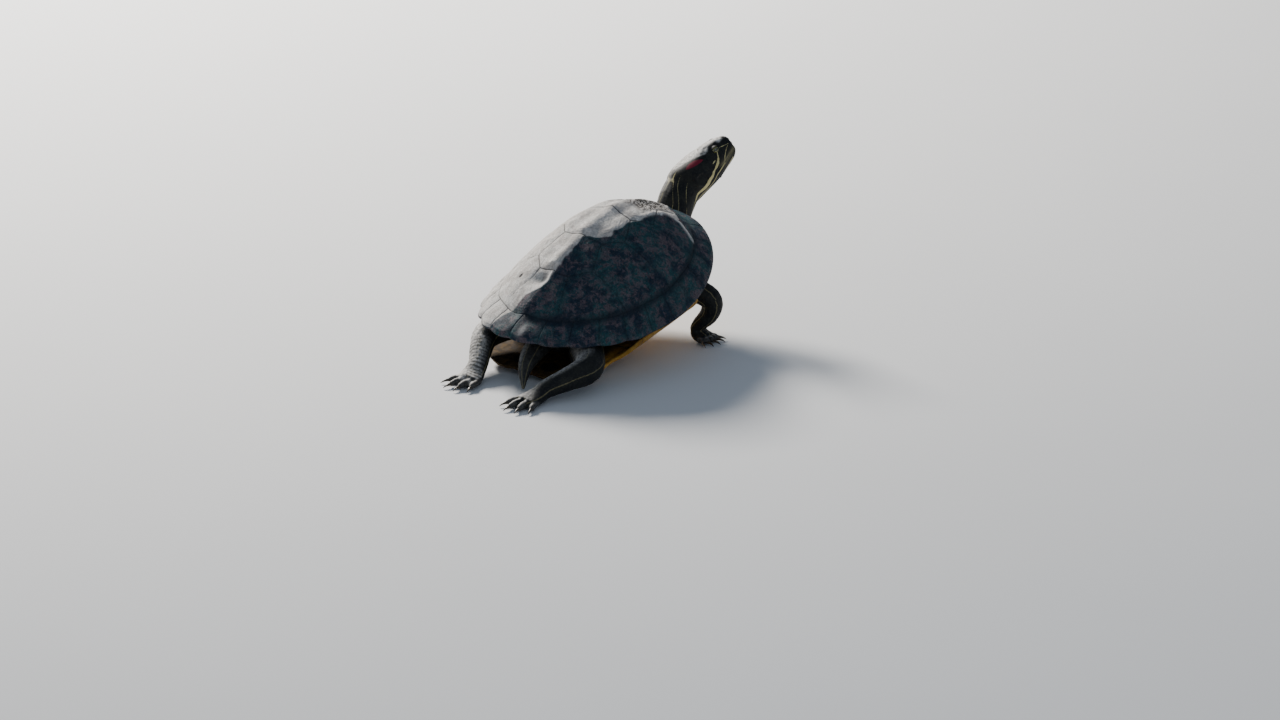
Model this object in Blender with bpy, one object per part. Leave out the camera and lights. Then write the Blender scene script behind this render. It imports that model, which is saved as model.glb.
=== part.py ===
"""Red-eared slider turtle (Trachemys scripta elegans), a still, life-size model.

Metres, +Z up, head toward +X, the animal's left toward +Y, feet on the plane z = 0.
The shell, trunk, neck and head are laid out in the animal's own frame, whose origin is the
middle of the shell's rim, and are then tipped nose-up and slightly onto the right side.
The legs and the tail are laid out over the floor. A route or section below is in millimetres.
"""

from math import cos, exp, pi, radians, sin, sqrt

import bmesh
import bpy
from mathutils import Matrix, Vector
from mathutils.geometry import interpolate_bezier

MM = 0.001
GAP = 0.3 * MM

# Stance of the shell over the floor
RIM_HEIGHT = 44.6 * MM
RIM_FORWARD = 3.75 * MM
NOSE_UP = radians(11.5)
RIGHT_SIDE_DOWN = radians(1.95)

# Carapace: the upper shell
HALF_LENGTH = 106.3 * MM
HALF_WIDTH = 76.4 * MM
OUTLINE_POWER = 1.98
DOME_HEIGHT = 59.2 * MM
SIDE_SLOPE = 0.126
REAR_SLOPE = 5 * MM
APEX_FORWARD = 21 * MM
FRONT_LIFT = 13.4 * MM
REAR_LIFT = 16.5 * MM
SHELL_THICKNESS = 5 * MM
RIM_THICKNESS = 3.7 * MM
RIM_UNDERSIDE = 13 * MM
KEEL_HEIGHT = 2 * MM
KEEL_WIDTH = 6 * MM
NUCHAL_HALF_WIDTH = 5 * MM
MARGINALS = 12
FIRST_TOOTHED_MARGINAL = 8
TOOTH = 2 * MM

# Plastron: the lower shell
PLASTRON_BOTTOM = -26 * MM
PLASTRON_THICKNESS = 4.5 * MM
PLASTRON_FLAT = 46 * MM
BRIDGE_REACH = 69.5 * MM
BRIDGE_RISE = 18.5 * MM
ANAL_NOTCH = 5 * MM

# Claws, in millimetres like the routes of the legs
CLAW_LENGTH = 6.2
CLAW_GAP = 0.8

# Head, in its own frame: x forward from the back of the skull, z up
HEAD_YAW = radians(-37.6)
HEAD_PITCH = radians(34.5)
HEAD_ROLL = radians(-5.7)
HEAD_BASE = Vector((134.4, 17.6, 22.9)) * MM
BROW_TAPER = 0.3
EYE_RADIUS = 3.6 * MM
EYE_CENTRE = Vector((34.4, 5.7, 6.4)) * MM
MOUTH_CORNER = Vector((23, 0, -5.0)) * MM
BEAK_TIP = Vector((50, 0, -2.8)) * MM

SKIN = (0.035, 0.04, 0.03)
HORN = (0.13, 0.14, 0.12)
BONE_YELLOW = (0.62, 0.38, 0.06)
CLAW = (0.03, 0.025, 0.02)
EYE = (0.35, 0.36, 0.06)


def clear_scene():
    for item in list(bpy.data.objects):
        bpy.data.objects.remove(item, do_unlink=True)


def make_collection(name):
    collection = bpy.data.collections.new(name)
    bpy.context.scene.collection.children.link(collection)
    return collection


def make_material(name, colour, roughness):
    material = bpy.data.materials.new(name)
    material.use_nodes = True
    shader = material.node_tree.nodes["Principled BSDF"]
    shader.inputs["Base Color"].default_value = (*colour, 1)
    shader.inputs["Roughness"].default_value = roughness
    shader.inputs["Metallic"].default_value = 0
    return material


def loft(name, rings, colour=SKIN, roughness=0.6):
    """A closed body through rings of points; a ring of one point is a pole."""
    mesh = bpy.data.meshes.new(name)
    bm = bmesh.new()
    loops = [[bm.verts.new(point) for point in ring] for ring in rings]
    for near, far in zip(loops, loops[1:]):
        count = max(len(near), len(far))
        for i in range(count):
            j = (i + 1) % count
            corners = [near[i % len(near)], near[j % len(near)], far[j % len(far)], far[i % len(far)]]
            bm.faces.new(list(dict.fromkeys(corners)))
    for end in (loops[0], loops[-1]):
        if len(end) > 2:
            bm.faces.new(end)
    bmesh.ops.recalc_face_normals(bm, faces=bm.faces)
    bm.to_mesh(mesh)
    bm.free()
    mesh.shade_smooth()
    mesh.set_sharp_from_angle(angle=radians(45))
    mesh.materials.append(make_material(name, colour, roughness))
    item = bpy.data.objects.new(name, mesh)
    parts.objects.link(item)
    return item


def as_cutter(item):
    parts.objects.unlink(item)
    cutters.objects.link(item)
    item.hide_render = True
    item.display_type = "WIRE"
    return item


def boolean(item, other, operation="DIFFERENCE"):
    modifier = item.modifiers.new(other.name, "BOOLEAN")
    modifier.operation = operation
    modifier.solver = "EXACT"
    modifier.object = other


def body_matrix():
    """From the animal's own frame to the floor's."""
    tip = Matrix.Rotation(-NOSE_UP, 4, "Y") @ Matrix.Rotation(RIGHT_SIDE_DOWN, 4, "X")
    return Matrix.Translation((RIM_FORWARD, 0, RIM_HEIGHT)) @ tip


def head_matrix():
    """From the head's frame to the floor's."""
    turn = Matrix.Rotation(HEAD_YAW, 4, "Z") @ Matrix.Rotation(-HEAD_PITCH, 4, "Y")
    lean = Matrix.Rotation(HEAD_ROLL, 4, "X")
    return body_matrix() @ Matrix.Translation(HEAD_BASE) @ turn @ lean


def signed_power(value, power):
    return abs(value) ** power * (1 if value >= 0 else -1)


# ---- carapace -------------------------------------------------------------------------------


def rim_point(angle):
    """A point of the rim; angle 0 is the front and pi the rear."""
    power = 2 / OUTLINE_POWER
    x = HALF_LENGTH * signed_power(cos(angle), power)
    y = HALF_WIDTH * signed_power(sin(angle), power)
    lift = FRONT_LIFT if x > 0 else REAR_LIFT
    return Vector((x, y, lift * (x / HALF_LENGTH) ** 2))


def side_stations(per_plate):
    """(angle, tooth) along the left rim from nuchal plate to tail, even in arc length."""
    fine = [pi * i / 1440 for i in range(1441)]
    arc = [0.0]
    for a, b in zip(fine, fine[1:]):
        arc.append(arc[-1] + (rim_point(b) - rim_point(a)).length)
    plate = (arc[-1] - NUCHAL_HALF_WIDTH) / MARGINALS
    stations = [(0.0, 0.0)]
    for step in range(MARGINALS * per_plate + 1):
        target = NUCHAL_HALF_WIDTH + plate * step / per_plate
        index = min(range(len(arc)), key=lambda i: abs(arc[i] - target))
        number = step // per_plate + 1
        share = (step % per_plate) / per_plate
        toothed = number >= FIRST_TOOTHED_MARGINAL and share > 0
        stations.append((fine[index], TOOTH * sin(pi * share ** 1.3) if toothed else 0.0))
    return stations


def whole_rim(per_plate):
    """(angle, tooth) all round the rim, from the front by the left side."""
    left = side_stations(per_plate)
    right = [(-angle, tooth) for angle, tooth in reversed(left[1:-1])]
    return left + right


def dome(angle, u):
    """Height over the rim's plane: a vault that falls away a little at the sides and rear."""
    vault = DOME_HEIGHT * max(0.0, 1 - u * u)
    rear = REAR_SLOPE * u * u * (1 - u * u) * max(0.0, -cos(angle))
    return vault * (1 - SIDE_SLOPE * u * u * abs(sin(angle))) - rear


def shell_point(angle, tooth, u, drop=0.0):
    """On the carapace's outer face, u from 0 at the crown to 1 at the rim, or drop below it."""
    rim = rim_point(angle)
    reach = 1 + tooth / rim.xy.length * u ** 8
    x = rim.x * u * reach + APEX_FORWARD * (1 - u)
    y = rim.y * u * reach
    keel = KEEL_HEIGHT * exp(-(y / KEEL_WIDTH) ** 2) * (1 - u ** 6)
    return Vector((x, y, rim.z * u ** 3 + dome(angle, u) + keel - drop))


def carapace_rings(clearance=0.0):
    stations = whole_rim(3)
    crown = [shell_point(0, 0, 0)]
    outer = [[shell_point(a, t, u) for a, t in stations]
             for u in (0.18, 0.35, 0.5, 0.64, 0.76, 0.86, 0.94, 1.0)]

    def edge(inward, below):
        ring = []
        for angle, tooth in stations:
            rim = rim_point(angle)
            u = 1 - inward / rim.xy.length
            point = shell_point(angle, tooth, min(u, 1.0))
            grow = max(u, 1.0)
            ring.append(Vector((point.x * grow, point.y * grow, rim.z * u ** 3 - below - clearance)))
        return ring

    rim = [edge(0.2 * MM - clearance, 0.55 * RIM_THICKNESS), edge(2 * MM - clearance, RIM_THICKNESS)]
    underside = [edge(RIM_UNDERSIDE + clearance, RIM_THICKNESS),
                 edge(RIM_UNDERSIDE + 3.5 * MM + clearance, -2 * MM)]
    inner = [[shell_point(a, 0, u, SHELL_THICKNESS * steep + clearance) for a, t in stations]
             for u, steep in ((0.76, 1.75), (0.58, 1.4), (0.3, 1.15))]
    under_crown = [shell_point(0, 0, 0, SHELL_THICKNESS + clearance)]
    return [crown] + outer + rim + underside + inner + [under_crown]


# ---- plastron and bridges -------------------------------------------------------------------


def eased(value, low, high):
    share = min(max((value - low) / (high - low), 0.0), 1.0)
    return share * share * (3 - 2 * share)


def plastron_half_width(x):
    """Front lobe, bridge between the leg notches, rear lobe."""
    front = 45 * MM * sqrt(max(0.0, 1 - max(0.0, (x - 50 * MM) / (47 * MM)) ** 2.6))
    rear = 49 * MM * sqrt(max(0.0, 1 - max(0.0, (-x - 58 * MM) / (41 * MM)) ** 3.0))
    lobe = front if x > 0 else rear
    bridge = eased(x, -46 * MM, -36 * MM) * (1 - eased(x, 34 * MM, 44 * MM))
    return lobe + (BRIDGE_REACH - lobe) * bridge


def plastron_bottom(x, y):
    front = 6 * MM * max(0.0, (x - 55 * MM) / (41 * MM)) ** 2
    rear = 3.5 * MM * max(0.0, (-x - 60 * MM) / (37 * MM)) ** 2
    side = max(0.0, (abs(y) - PLASTRON_FLAT) / (BRIDGE_REACH - PLASTRON_FLAT))
    return PLASTRON_BOTTOM + front + rear + BRIDGE_RISE * side ** 1.3


def plastron_rings(clearance=0.0):
    columns = [-96.5, -93, -88, -80, -70, -58, -48, -44, -40, -36, -24, -8,
               8, 24, 33, 37, 41, 46, 58, 70, 80, 88, 93, 96.2]
    rings = []
    for column in columns:
        x = column * MM
        width = plastron_half_width(x) + clearance
        shares = [-1, -0.86, -0.66, -0.4, 0, 0.4, 0.66, 0.86, 1]
        notch = ANAL_NOTCH * eased(-x, 80 * MM, 96 * MM)
        below, above = [], []
        for share in shares:
            y = width * share
            shift = notch * max(0.0, 1 - abs(y) / (15 * MM))
            low = plastron_bottom(x, y)
            roof = rim_lift(x) - RIM_THICKNESS - GAP + clearance
            side = max(0.0, abs(y) - PLASTRON_FLAT) / (BRIDGE_REACH - PLASTRON_FLAT)
            high = min(low + PLASTRON_THICKNESS * (1 + 0.3 * side), roof)
            below.append(Vector((x + shift, y, low - clearance)))
            above.append(Vector((x + shift, y * 0.992, high + clearance)))
        rings.append(below + above[::-1])
    return rings


def rim_lift(x):
    lift = FRONT_LIFT if x > 0 else REAR_LIFT
    return lift * (x / HALF_LENGTH) ** 2 * 0.6


# ---- trunk ----------------------------------------------------------------------------------


def trunk_rings(clearance=0.0):
    """The flesh inside the shell, with its pockets' skin showing between the two shells."""
    angles = [2 * pi * i / 40 for i in range(40)]
    air = GAP * 1.8 - clearance
    top = [shell_point(0, 0, 0, SHELL_THICKNESS * 1.7 + air)]
    roof = [[shell_point(a, 0, u, SHELL_THICKNESS * steep + air) for a in angles]
            for u, steep in ((0.3, 1.8), (0.56, 2.1), (0.73, 2.6))]
    wall = []
    for u, z in ((0.768, 3.5), (0.755, -3.5), (0.71, -10.5), (0.62, -17), (0.5, -20.9)):
        scale = u + clearance / HALF_WIDTH
        ring = []
        for angle in angles:
            rim = rim_point(angle)
            below = z * MM - clearance + rim.z * 0.35 * eased(z, -17, 0)
            ring.append(Vector((rim.x * scale, rim.y * scale, below)))
        wall.append(ring)
    floor = [Vector((0, 0, -20.9 * MM - clearance))]
    return [top] + roof + wall + [floor]


# ---- limbs, neck, tail ----------------------------------------------------------------------


def spline(stations, per_span):
    """Stations (x, y, z, half width, half depth), joined smoothly."""
    points = [Vector(station[:3]) for station in stations]
    sizes = [station[3:5] for station in stations]
    last = len(points) - 1
    slopes = [(points[min(i + 1, last)] - points[max(i - 1, 0)]) / 2 for i in range(last + 1)]
    route = []
    for i in range(last):
        a, b = points[i], points[i + 1]
        span = interpolate_bezier(a, a + slopes[i] / 3, b - slopes[i + 1] / 3, b, per_span + 1)
        for k, point in enumerate(span[:-1] if i < last - 1 else span):
            share = eased(k / per_span, 0, 1)
            size = [p + (q - p) * share for p, q in zip(sizes[i], sizes[i + 1])]
            route.append((point * MM, size[0] * MM, size[1] * MM))
    return route


def tube_rings(route, wide, sides=12, shift=(0, 0)):
    """Oval rings across a route; wide is the direction of the section's width.

    The first and last rings are moved inward by the shift's two lengths."""
    rings = []
    last = len(route) - 1
    for i, (centre, half_width, half_depth) in enumerate(route):
        along = (route[min(i + 1, last)][0] - route[max(i - 1, 0)][0]).normalized()
        across = (wide - along * wide.dot(along)).normalized()
        up = along.cross(across)
        moved = centre + along * (shift[0] if i == 0 else -shift[1] if i == last else 0)
        rings.append([moved + across * half_width * cos(2 * pi * k / sides)
                      + up * half_depth * sin(2 * pi * k / sides) for k in range(sides)])
    return rings


def widened(route):
    return [(centre, half_width + GAP, half_depth + GAP) for centre, half_width, half_depth in route]


def limb(name, stations, wide, cuts, pieces=("upper", "lower", "foot")):
    """One leg parted by thin cuts at the elbow or knee and at the wrist or ankle."""
    per_span = 3
    route = spline(stations, per_span)
    ends = [0] + [cut * per_span for cut in cuts] + [len(route) - 1]
    made = []
    for number, piece in enumerate(pieces):
        part = route[ends[number]:ends[number + 1] + 1:1 if piece != pieces[-1] else per_span]
        gaps = (GAP / 2 if number else 0, GAP / 2 if number < len(pieces) - 1 else 0)
        made.append(loft(f"{name}_{piece}", tube_rings(part, wide, 12, gaps)))
        if number:
            boolean(made[number], room)
        room = as_cutter(loft(f"{name}_{piece}_room", tube_rings(widened(part), wide, 12, (0, -GAP))))
    return made


def toes_and_claws(name, foot, fan):
    """Toes as tapering fingers joined to the foot, each with a separate curved claw.

    The fan holds (root x, root y, root z, heading in degrees, length, root radius)."""
    for number, (x, y, z, heading, length, radius) in enumerate(fan, 1):
        ahead = Vector((cos(radians(heading)), sin(radians(heading)), 0))
        root = Vector((x, y, z))
        tip = root + ahead * length
        tip.z = 2.5
        middle = (root + tip) / 2
        middle.z += 0.8
        stations = [(*(root - ahead * 6), radius, radius), (*middle, radius * 0.95, radius * 0.9),
                    (*tip, radius * 0.66, radius * 0.66)]
        wide = Vector((0, 0, 1)).cross(ahead)
        toe = as_cutter(loft(f"{name}_toe_{number}", tube_rings(spline(stations, 1), wide, 7)))
        boolean(foot, toe, "UNION")
        start = tip + ahead * CLAW_GAP
        bend = start + ahead * CLAW_LENGTH * 0.55 + Vector((0, 0, 0.35))
        point = start + ahead * CLAW_LENGTH + Vector((0, 0, -1.5))
        curve = [(*start, 1.25, 1.35), (*bend, 0.9, 1.0), (*point, 0.28, 0.3)]
        loft(f"{name}_claw_{number}", tube_rings(spline(curve, 1), wide, 6), CLAW, 0.35)


def floor_cutter():
    bpy.ops.mesh.primitive_cube_add(size=1, location=(0, 0, -0.02))
    item = bpy.context.object
    item.name = "floor"
    item.scale = (0.6, 0.4, 0.04)
    for collection in list(item.users_collection):
        collection.objects.unlink(item)
    cutters.objects.link(item)
    item.hide_render = True
    item.display_type = "WIRE"
    return item


# ---- head -----------------------------------------------------------------------------------


def head_rings():
    """Sections (x, half width, crown, throat): broad at the eardrums, blunt at the snout."""
    sections = [(0, 13.6, 13.8, -14.1), (5, 15.1, 14.1, -15.0), (11, 16.1, 14.1, -15.1),
                (18, 15.8, 13.7, -14.8), (24, 14.4, 13.2, -14.1), (29, 12.9, 12.9, -13.2),
                (34, 11.1, 12.3, -12.2), (38, 9.5, 11.3, -11.0), (41.5, 7.9, 10.1, -9.7),
                (44.3, 6.2, 8.4, -7.8), (46, 4.1, 6.0, -5.6)]
    rings = []
    for x, half_width, crown, throat in sections:
        middle = (crown + throat) / 2
        half_height = (crown - throat) / 2
        ring = []
        for k in range(16):
            angle = 2 * pi * k / 16
            narrow = 1 - BROW_TAPER * min(max((x - 16) / 14, 0), 1) * max(0, sin(angle))
            y = half_width * signed_power(cos(angle), 0.85) * narrow
            z = middle + half_height * signed_power(sin(angle), 0.85)
            ring.append(Vector((x, y, z)) * MM)
        rings.append(ring)
    return rings


def mouth_wedge(name, inset):
    """The block that parts the lower jaw from the head along the mouth line."""
    corner = MOUTH_CORNER + Vector((inset, 0, -inset))
    tip = BEAK_TIP + Vector((0, 0, -inset))
    outline = [corner, tip, Vector((tip.x, 0, -0.03)), Vector((8 * MM + inset, 0, -0.03)),
               Vector((8 * MM + inset, 0, -9.5 * MM - inset))]
    side = Vector((0, 0.03, 0))
    block = loft(name, [[point - side for point in outline], [point + side for point in outline]])
    block.matrix_world = head_matrix()
    return as_cutter(block)


def build_head():
    head = loft("head", head_rings())
    jaw = loft("jaw", head_rings())
    for piece in (head, jaw):
        piece.matrix_world = head_matrix()
    boolean(head, mouth_wedge("mouth_above", -GAP / 2))
    boolean(jaw, mouth_wedge("mouth_below", GAP / 2), "INTERSECT")
    for side, name in ((1, "eye_left"), (-1, "eye_right")):
        place = head_matrix() @ Vector((EYE_CENTRE.x, side * EYE_CENTRE.y, EYE_CENTRE.z))
        for radius, label in ((EYE_RADIUS, name), (EYE_RADIUS + GAP, name + "_socket")):
            bpy.ops.mesh.primitive_uv_sphere_add(segments=12, ring_count=7, radius=radius, location=place)
            ball = bpy.context.object
            ball.name = label
            for collection in list(ball.users_collection):
                collection.objects.unlink(ball)
            parts.objects.link(ball)
            ball.data.shade_smooth()
            ball.data.materials.append(make_material(label, EYE, 0.1))
        boolean(head, as_cutter(ball))
    return head


# ---- the whole animal -----------------------------------------------------------------------


def build_turtle():
    tip = body_matrix()
    carapace = loft("carapace", carapace_rings(), HORN, 0.7)
    plastron = loft("plastron", plastron_rings(), BONE_YELLOW, 0.5)
    trunk = loft("trunk", trunk_rings())
    around = [as_cutter(loft("carapace_room", carapace_rings(GAP))),
              as_cutter(loft("plastron_room", plastron_rings(GAP))),
              as_cutter(loft("trunk_room", trunk_rings(GAP)))]
    for item in [carapace, plastron, trunk] + around:
        item.matrix_world = tip
    floor = floor_cutter()
    boolean(plastron, floor)

    neck_route = spline([(62, 3, -5, 14.5, 12.5), (79, 8, -8, 14.5, 12.3), (95, 14, -7.5, 14, 12.4),
                         (110.5, 16.6, 1.5, 14.3, 13.4), (123, 17.5, 14.2, 14.5, 14.3),
                         (134.4, 17.6, 22.9, 14.2, 14.2)], 3)
    neck = loft("neck", tube_rings(neck_route, Vector((0, 1, 0)), 14))
    head = build_head()
    back = loft("neck_room", tube_rings(widened(neck_route), Vector((0, 1, 0)), 14, (0, -GAP)))
    for item in (neck, back):
        item.matrix_world = tip
    boolean(head, as_cutter(back))

    tail = loft("tail", tube_rings(spline([(-66, -3, 26, 11, 9), (-82, -6, 20.5, 9, 7.5),
                                           (-94, -10, 16, 6.5, 5.6), (-103, -15, 11.5, 4.2, 4),
                                           (-110, -20, 8, 2.4, 2.3), (-115, -24, 5.6, 1.1, 1.1)], 2),
                                   Vector((0, 1, 0)), 10))

    fore_right = limb("foreleg_right",
                      [(44, -22, 48, 10.5, 10), (56, -42, 44, 9.8, 9.6), (66, -59, 35, 8.6, 8.8),
                       (67, -58, 23, 7.4, 7.6), (64, -49.5, 11.5, 7.0, 5.4), (64, -51, 5.4, 8.6, 4.6),
                       (64, -57, 3.4, 9.4, 3.8)],
                      Vector((1, 0, 0)), (2, 4))
    fore_left = limb("foreleg_left",
                     [(44, 24, 53, 10.5, 10), (57, 43, 50, 9.8, 9.6), (69, 60, 41, 8.6, 8.8),
                      (74, 60, 27, 7.4, 7.6), (74, 54.5, 12.5, 7.0, 5.4), (77, 56.5, 6, 8.6, 4.8),
                      (84, 61, 3.4, 9.6, 3.8)],
                     Vector((0.7, -0.7, 0)), (2, 4))
    hind_right = limb("hindleg_right",
                      [(-42, -22, 28, 13, 12), (-61, -42, 22, 13.4, 12.4), (-79, -57, 19, 11.4, 11.4),
                       (-97, -53, 15, 9.2, 8.8), (-112, -45, 10, 8.0, 7.0), (-123, -42, 5.5, 9.6, 5.2),
                       (-133, -40, 3.6, 11.8, 3.9)],
                      Vector((0.25, 1, 0)), (2, 4))
    hind_left = limb("hindleg_left",
                     [(-42, 22, 33, 12.6, 12), (-60, 37, 28, 12.6, 12), (-78, 42, 23, 10.6, 10.6),
                      (-92, 36, 17, 8.8, 8.4), (-104, 29, 10.5, 7.8, 7.0), (-114, 26, 5.5, 9.4, 5.2),
                      (-123, 24, 3.6, 11.4, 3.9)],
                     Vector((-0.2, 1, 0)), (2, 4))

    toes_and_claws("foreleg_right", fore_right[2],
                   [(70.5, -56.4, 3.0, -58, 4.8, 2.3), (67.6, -58, 3.1, -74, 5.6, 2.5),
                    (64, -58.5, 3.1, -90, 5.8, 2.5), (60.4, -58, 3.1, -106, 5.6, 2.5),
                    (57.5, -56.4, 3.0, -122, 4.8, 2.3)])
    toes_and_claws("foreleg_left", fore_left[2],
                   [(88.6, 56.6, 3.0, 3, 5.2, 2.3), (87.4, 59.6, 3.1, 19, 6.2, 2.5),
                    (85, 62.2, 3.1, 35, 6.6, 2.5), (82.2, 64.4, 3.1, 51, 6.2, 2.5),
                    (79.2, 65.6, 3.0, 67, 5.2, 2.3)])
    toes_and_claws("hindleg_right", hind_right[2],
                   [(-132.5, -49, 3.0, -158, 8.5, 2.7), (-135.5, -43, 3.2, -171, 10.5, 2.9),
                    (-135.5, -36.5, 3.2, 176, 10.5, 2.9), (-132, -31, 3.0, 163, 8.5, 2.7)])
    toes_and_claws("hindleg_left", hind_left[2],
                   [(-121.4, 33.2, 3.0, 152, 8.5, 2.7), (-125.4, 27.6, 3.2, 166, 10.5, 2.9),
                    (-126.4, 21.2, 3.2, -180, 10.5, 2.9), (-124, 15.2, 3.0, -166, 8.5, 2.7)])

    for item in fore_right[:1] + fore_left[:1] + hind_right[:1] + hind_left[:1] + [neck, tail]:
        for room in around:
            boolean(item, room)
    for leg in (fore_right, fore_left, hind_right, hind_left):
        boolean(leg[2], floor)


def stand_at_origin():
    """Puts the middle of the animal's bounding box over the origin."""
    corners = []
    graph = bpy.context.evaluated_depsgraph_get()
    for item in parts.objects:
        shown = item.evaluated_get(graph)
        corners += [item.matrix_world @ vertex.co for vertex in shown.data.vertices]
    middle = [(min(c[k] for c in corners) + max(c[k] for c in corners)) / 2 for k in (0, 1)]
    root = bpy.data.objects.new("stance", None)
    parts.objects.link(root)
    for item in list(parts.objects) + list(cutters.objects):
        if item is not root:
            item.parent = root
    root.location = (-middle[0], -middle[1], 0)


clear_scene()
parts = make_collection("red_eared_slider")
cutters = make_collection("cutters")
build_turtle()
bpy.context.view_layer.update()
stand_at_origin()
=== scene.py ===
"""Looks of the red-eared slider turtle: shell, skin, eyes, claws, light and camera.

The shell's formulas and the routes of the limbs are those of the solids, in millimetres,
in the animal's own frame: x toward the head, y toward the animal's left, z up, and the
origin in the middle of the shell's rim.
"""

from math import cos, pi, radians, sin

import bmesh
import bpy
import numpy as np
from mathutils import Matrix, Vector
from mathutils.kdtree import KDTree


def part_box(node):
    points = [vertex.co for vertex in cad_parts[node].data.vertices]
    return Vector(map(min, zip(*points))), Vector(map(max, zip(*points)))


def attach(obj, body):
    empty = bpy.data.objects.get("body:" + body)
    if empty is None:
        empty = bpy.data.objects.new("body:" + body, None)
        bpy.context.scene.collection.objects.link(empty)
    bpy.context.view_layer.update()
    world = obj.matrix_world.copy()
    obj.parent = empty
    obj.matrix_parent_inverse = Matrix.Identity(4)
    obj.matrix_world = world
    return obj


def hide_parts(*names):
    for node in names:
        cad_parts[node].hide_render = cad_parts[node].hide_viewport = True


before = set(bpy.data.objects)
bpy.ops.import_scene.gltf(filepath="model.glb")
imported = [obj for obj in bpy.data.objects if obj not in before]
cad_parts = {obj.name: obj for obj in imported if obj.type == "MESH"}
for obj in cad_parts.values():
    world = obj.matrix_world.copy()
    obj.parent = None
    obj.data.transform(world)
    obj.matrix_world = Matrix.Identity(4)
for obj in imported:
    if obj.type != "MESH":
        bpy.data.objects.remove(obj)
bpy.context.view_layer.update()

MM = 0.001
SIDES = (-1, 1)

# Stance
RIM_HEIGHT = 44.6
RIM_FORWARD = 3.75
NOSE_UP = radians(11.5)
RIGHT_SIDE_DOWN = radians(1.95)
# Least height of the skin and the plastron over the floor
FLOOR_GAP = 0.02

# Toward the sun: the key lamp stands here, and this side of the animal is painted pale as painted light
SUN_SIDE = (0.36, 0.78, 0.50)

# Fineness of the meshes
RIM_STEPS = 22
DOME_STEPS = 250
PLASTRON_COLUMNS = 300
PLASTRON_ROWS = 180
VOXEL = 0.85
NAPE_ROUNDS = 10

# Head: its turns and base in the body's frame, then (x, z) or (x, y, z) in its own frame
HEAD_YAW = radians(-37.6)
HEAD_PITCH = radians(34.5)
HEAD_ROLL = radians(-5.7)
HEAD_BASE = Vector((134.4, 17.6, 22.9))
HEAD_LENGTH = 46
BROW_TAPER = 0.3
MOUTH_CORNER = (23, -5.0)
BEAK_TIP = (50, -2.8)
NOSTRIL = (45.0, 1.7, 2.6)
NOSE = (46.5, 0, 3.0)
EAR = (13, -0.5)

# Eyes
EYE_RADIUS = 3.6
EYE_CENTRE = Vector((34.4, 5.7, 6.4))
EYE_LOOK = Vector((0.24, 0.93, 0.28)).normalized()
EYE_AHEAD = np.array([1, 0, -0.12])
LID_THICKNESS = 0.2
LID_REACH = 5.6
EYELID_HALF_WIDTH = 2.9
UPPER_LID_RISE = 2.2
LOWER_LID_DROP = 1.95

# How deep the skin lies under the face of the solids
SKIN_INSET = 0.25


# ---- frames of reference --------------------------------------------------------------------


def body_matrix():
    tip = Matrix.Rotation(-NOSE_UP, 4, "Y") @ Matrix.Rotation(RIGHT_SIDE_DOWN, 4, "X")
    return Matrix.Translation((RIM_FORWARD, 0, RIM_HEIGHT)) @ tip


def head_matrix():
    turn = Matrix.Rotation(HEAD_YAW, 4, "Z") @ Matrix.Rotation(-HEAD_PITCH, 4, "Y")
    lean = Matrix.Rotation(HEAD_ROLL, 4, "X")
    return body_matrix() @ Matrix.Translation(HEAD_BASE) @ turn @ lean


def stance_shift():
    """How far the solids stand from the routes' own origin, read at the left eye."""
    low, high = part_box("eye_left")
    return (Vector(low) + Vector(high)) / 2 / MM - head_matrix() @ EYE_CENTRE


SHIFT = Matrix.Translation(stance_shift())
FLOOR_FRAME = SHIFT
BODY = SHIFT @ body_matrix()
HEAD = SHIFT @ head_matrix()


def moved(points, matrix):
    """Points (n, 3) through a 4 by 4 matrix."""
    m = np.array(matrix)
    return points @ m[:3, :3].T + m[:3, 3]


def turned(vectors, matrix):
    return vectors @ np.array(matrix)[:3, :3].T


# ---- numbers --------------------------------------------------------------------------------

HASH_FREQUENCIES = np.array([127.1, 311.7, 74.7])
HASH_SCALE = 43758.5453
LAYER_SHIFT = 37.3


def signed_power(value, power):
    return np.sign(value) * np.abs(value) ** power


def unit(vectors):
    return vectors / (np.linalg.norm(vectors, axis=-1, keepdims=True) + 1e-12)


def flat(points):
    """The points moved straight down to the plane of x and y."""
    return np.column_stack([points[:, :2], np.zeros(len(points))])


def eased(value, low, high):
    share = np.clip((value - low) / (high - low), 0, 1)
    return share * share * (3 - 2 * share)


def within(value, span):
    """One inside a span, (where it starts to rise, is up, starts to fall, is down)."""
    rise, risen, fall, fallen = span
    return eased(value, rise, risen) * (1 - eased(value, fall, fallen))


def bump(value, width):
    return np.exp(-(value / width) ** 2)


def ridge(value, form):
    """A rounded ridge, (height, middle, width), or a groove where the height is negative."""
    height, middle, width = form
    return height * bump(value - middle, width)


def oval(x, y, place):
    """Distance from the middle of an oval, (x, y, half length, half width), one at its edge."""
    middle_x, middle_y, half_length, half_width = place
    return np.hypot((x - middle_x) / half_length, (y - middle_y) / half_width)


def spot(x, y, place):
    """One at the middle of an oval place, fading outward."""
    return bump(oval(x, y, place), 1)


def hashed(cells):
    """A number from 0 to 1 for each whole-numbered cell."""
    mixed = np.sin(cells @ HASH_FREQUENCIES) * HASH_SCALE
    return mixed - np.floor(mixed)


def noise(points, size):
    """Smooth noise from -1 to 1 with lumps about as wide as size."""
    scaled = points / size
    base = np.floor(scaled)
    part = eased(scaled - base, 0, 1)
    total = np.zeros(len(points))
    for corner in np.ndindex(2, 2, 2):
        weight = np.prod(np.where(np.array(corner), part, 1 - part), axis=1)
        total += weight * hashed(base + corner)
    return total * 2 - 1


def lumps(points, form):
    """Noise in ever finer layers, (height, size, layers)."""
    height, size, layers = form
    return height * sum(noise(points + LAYER_SHIFT * k, size / 2 ** k) / 2 ** k for k in range(layers))


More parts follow.
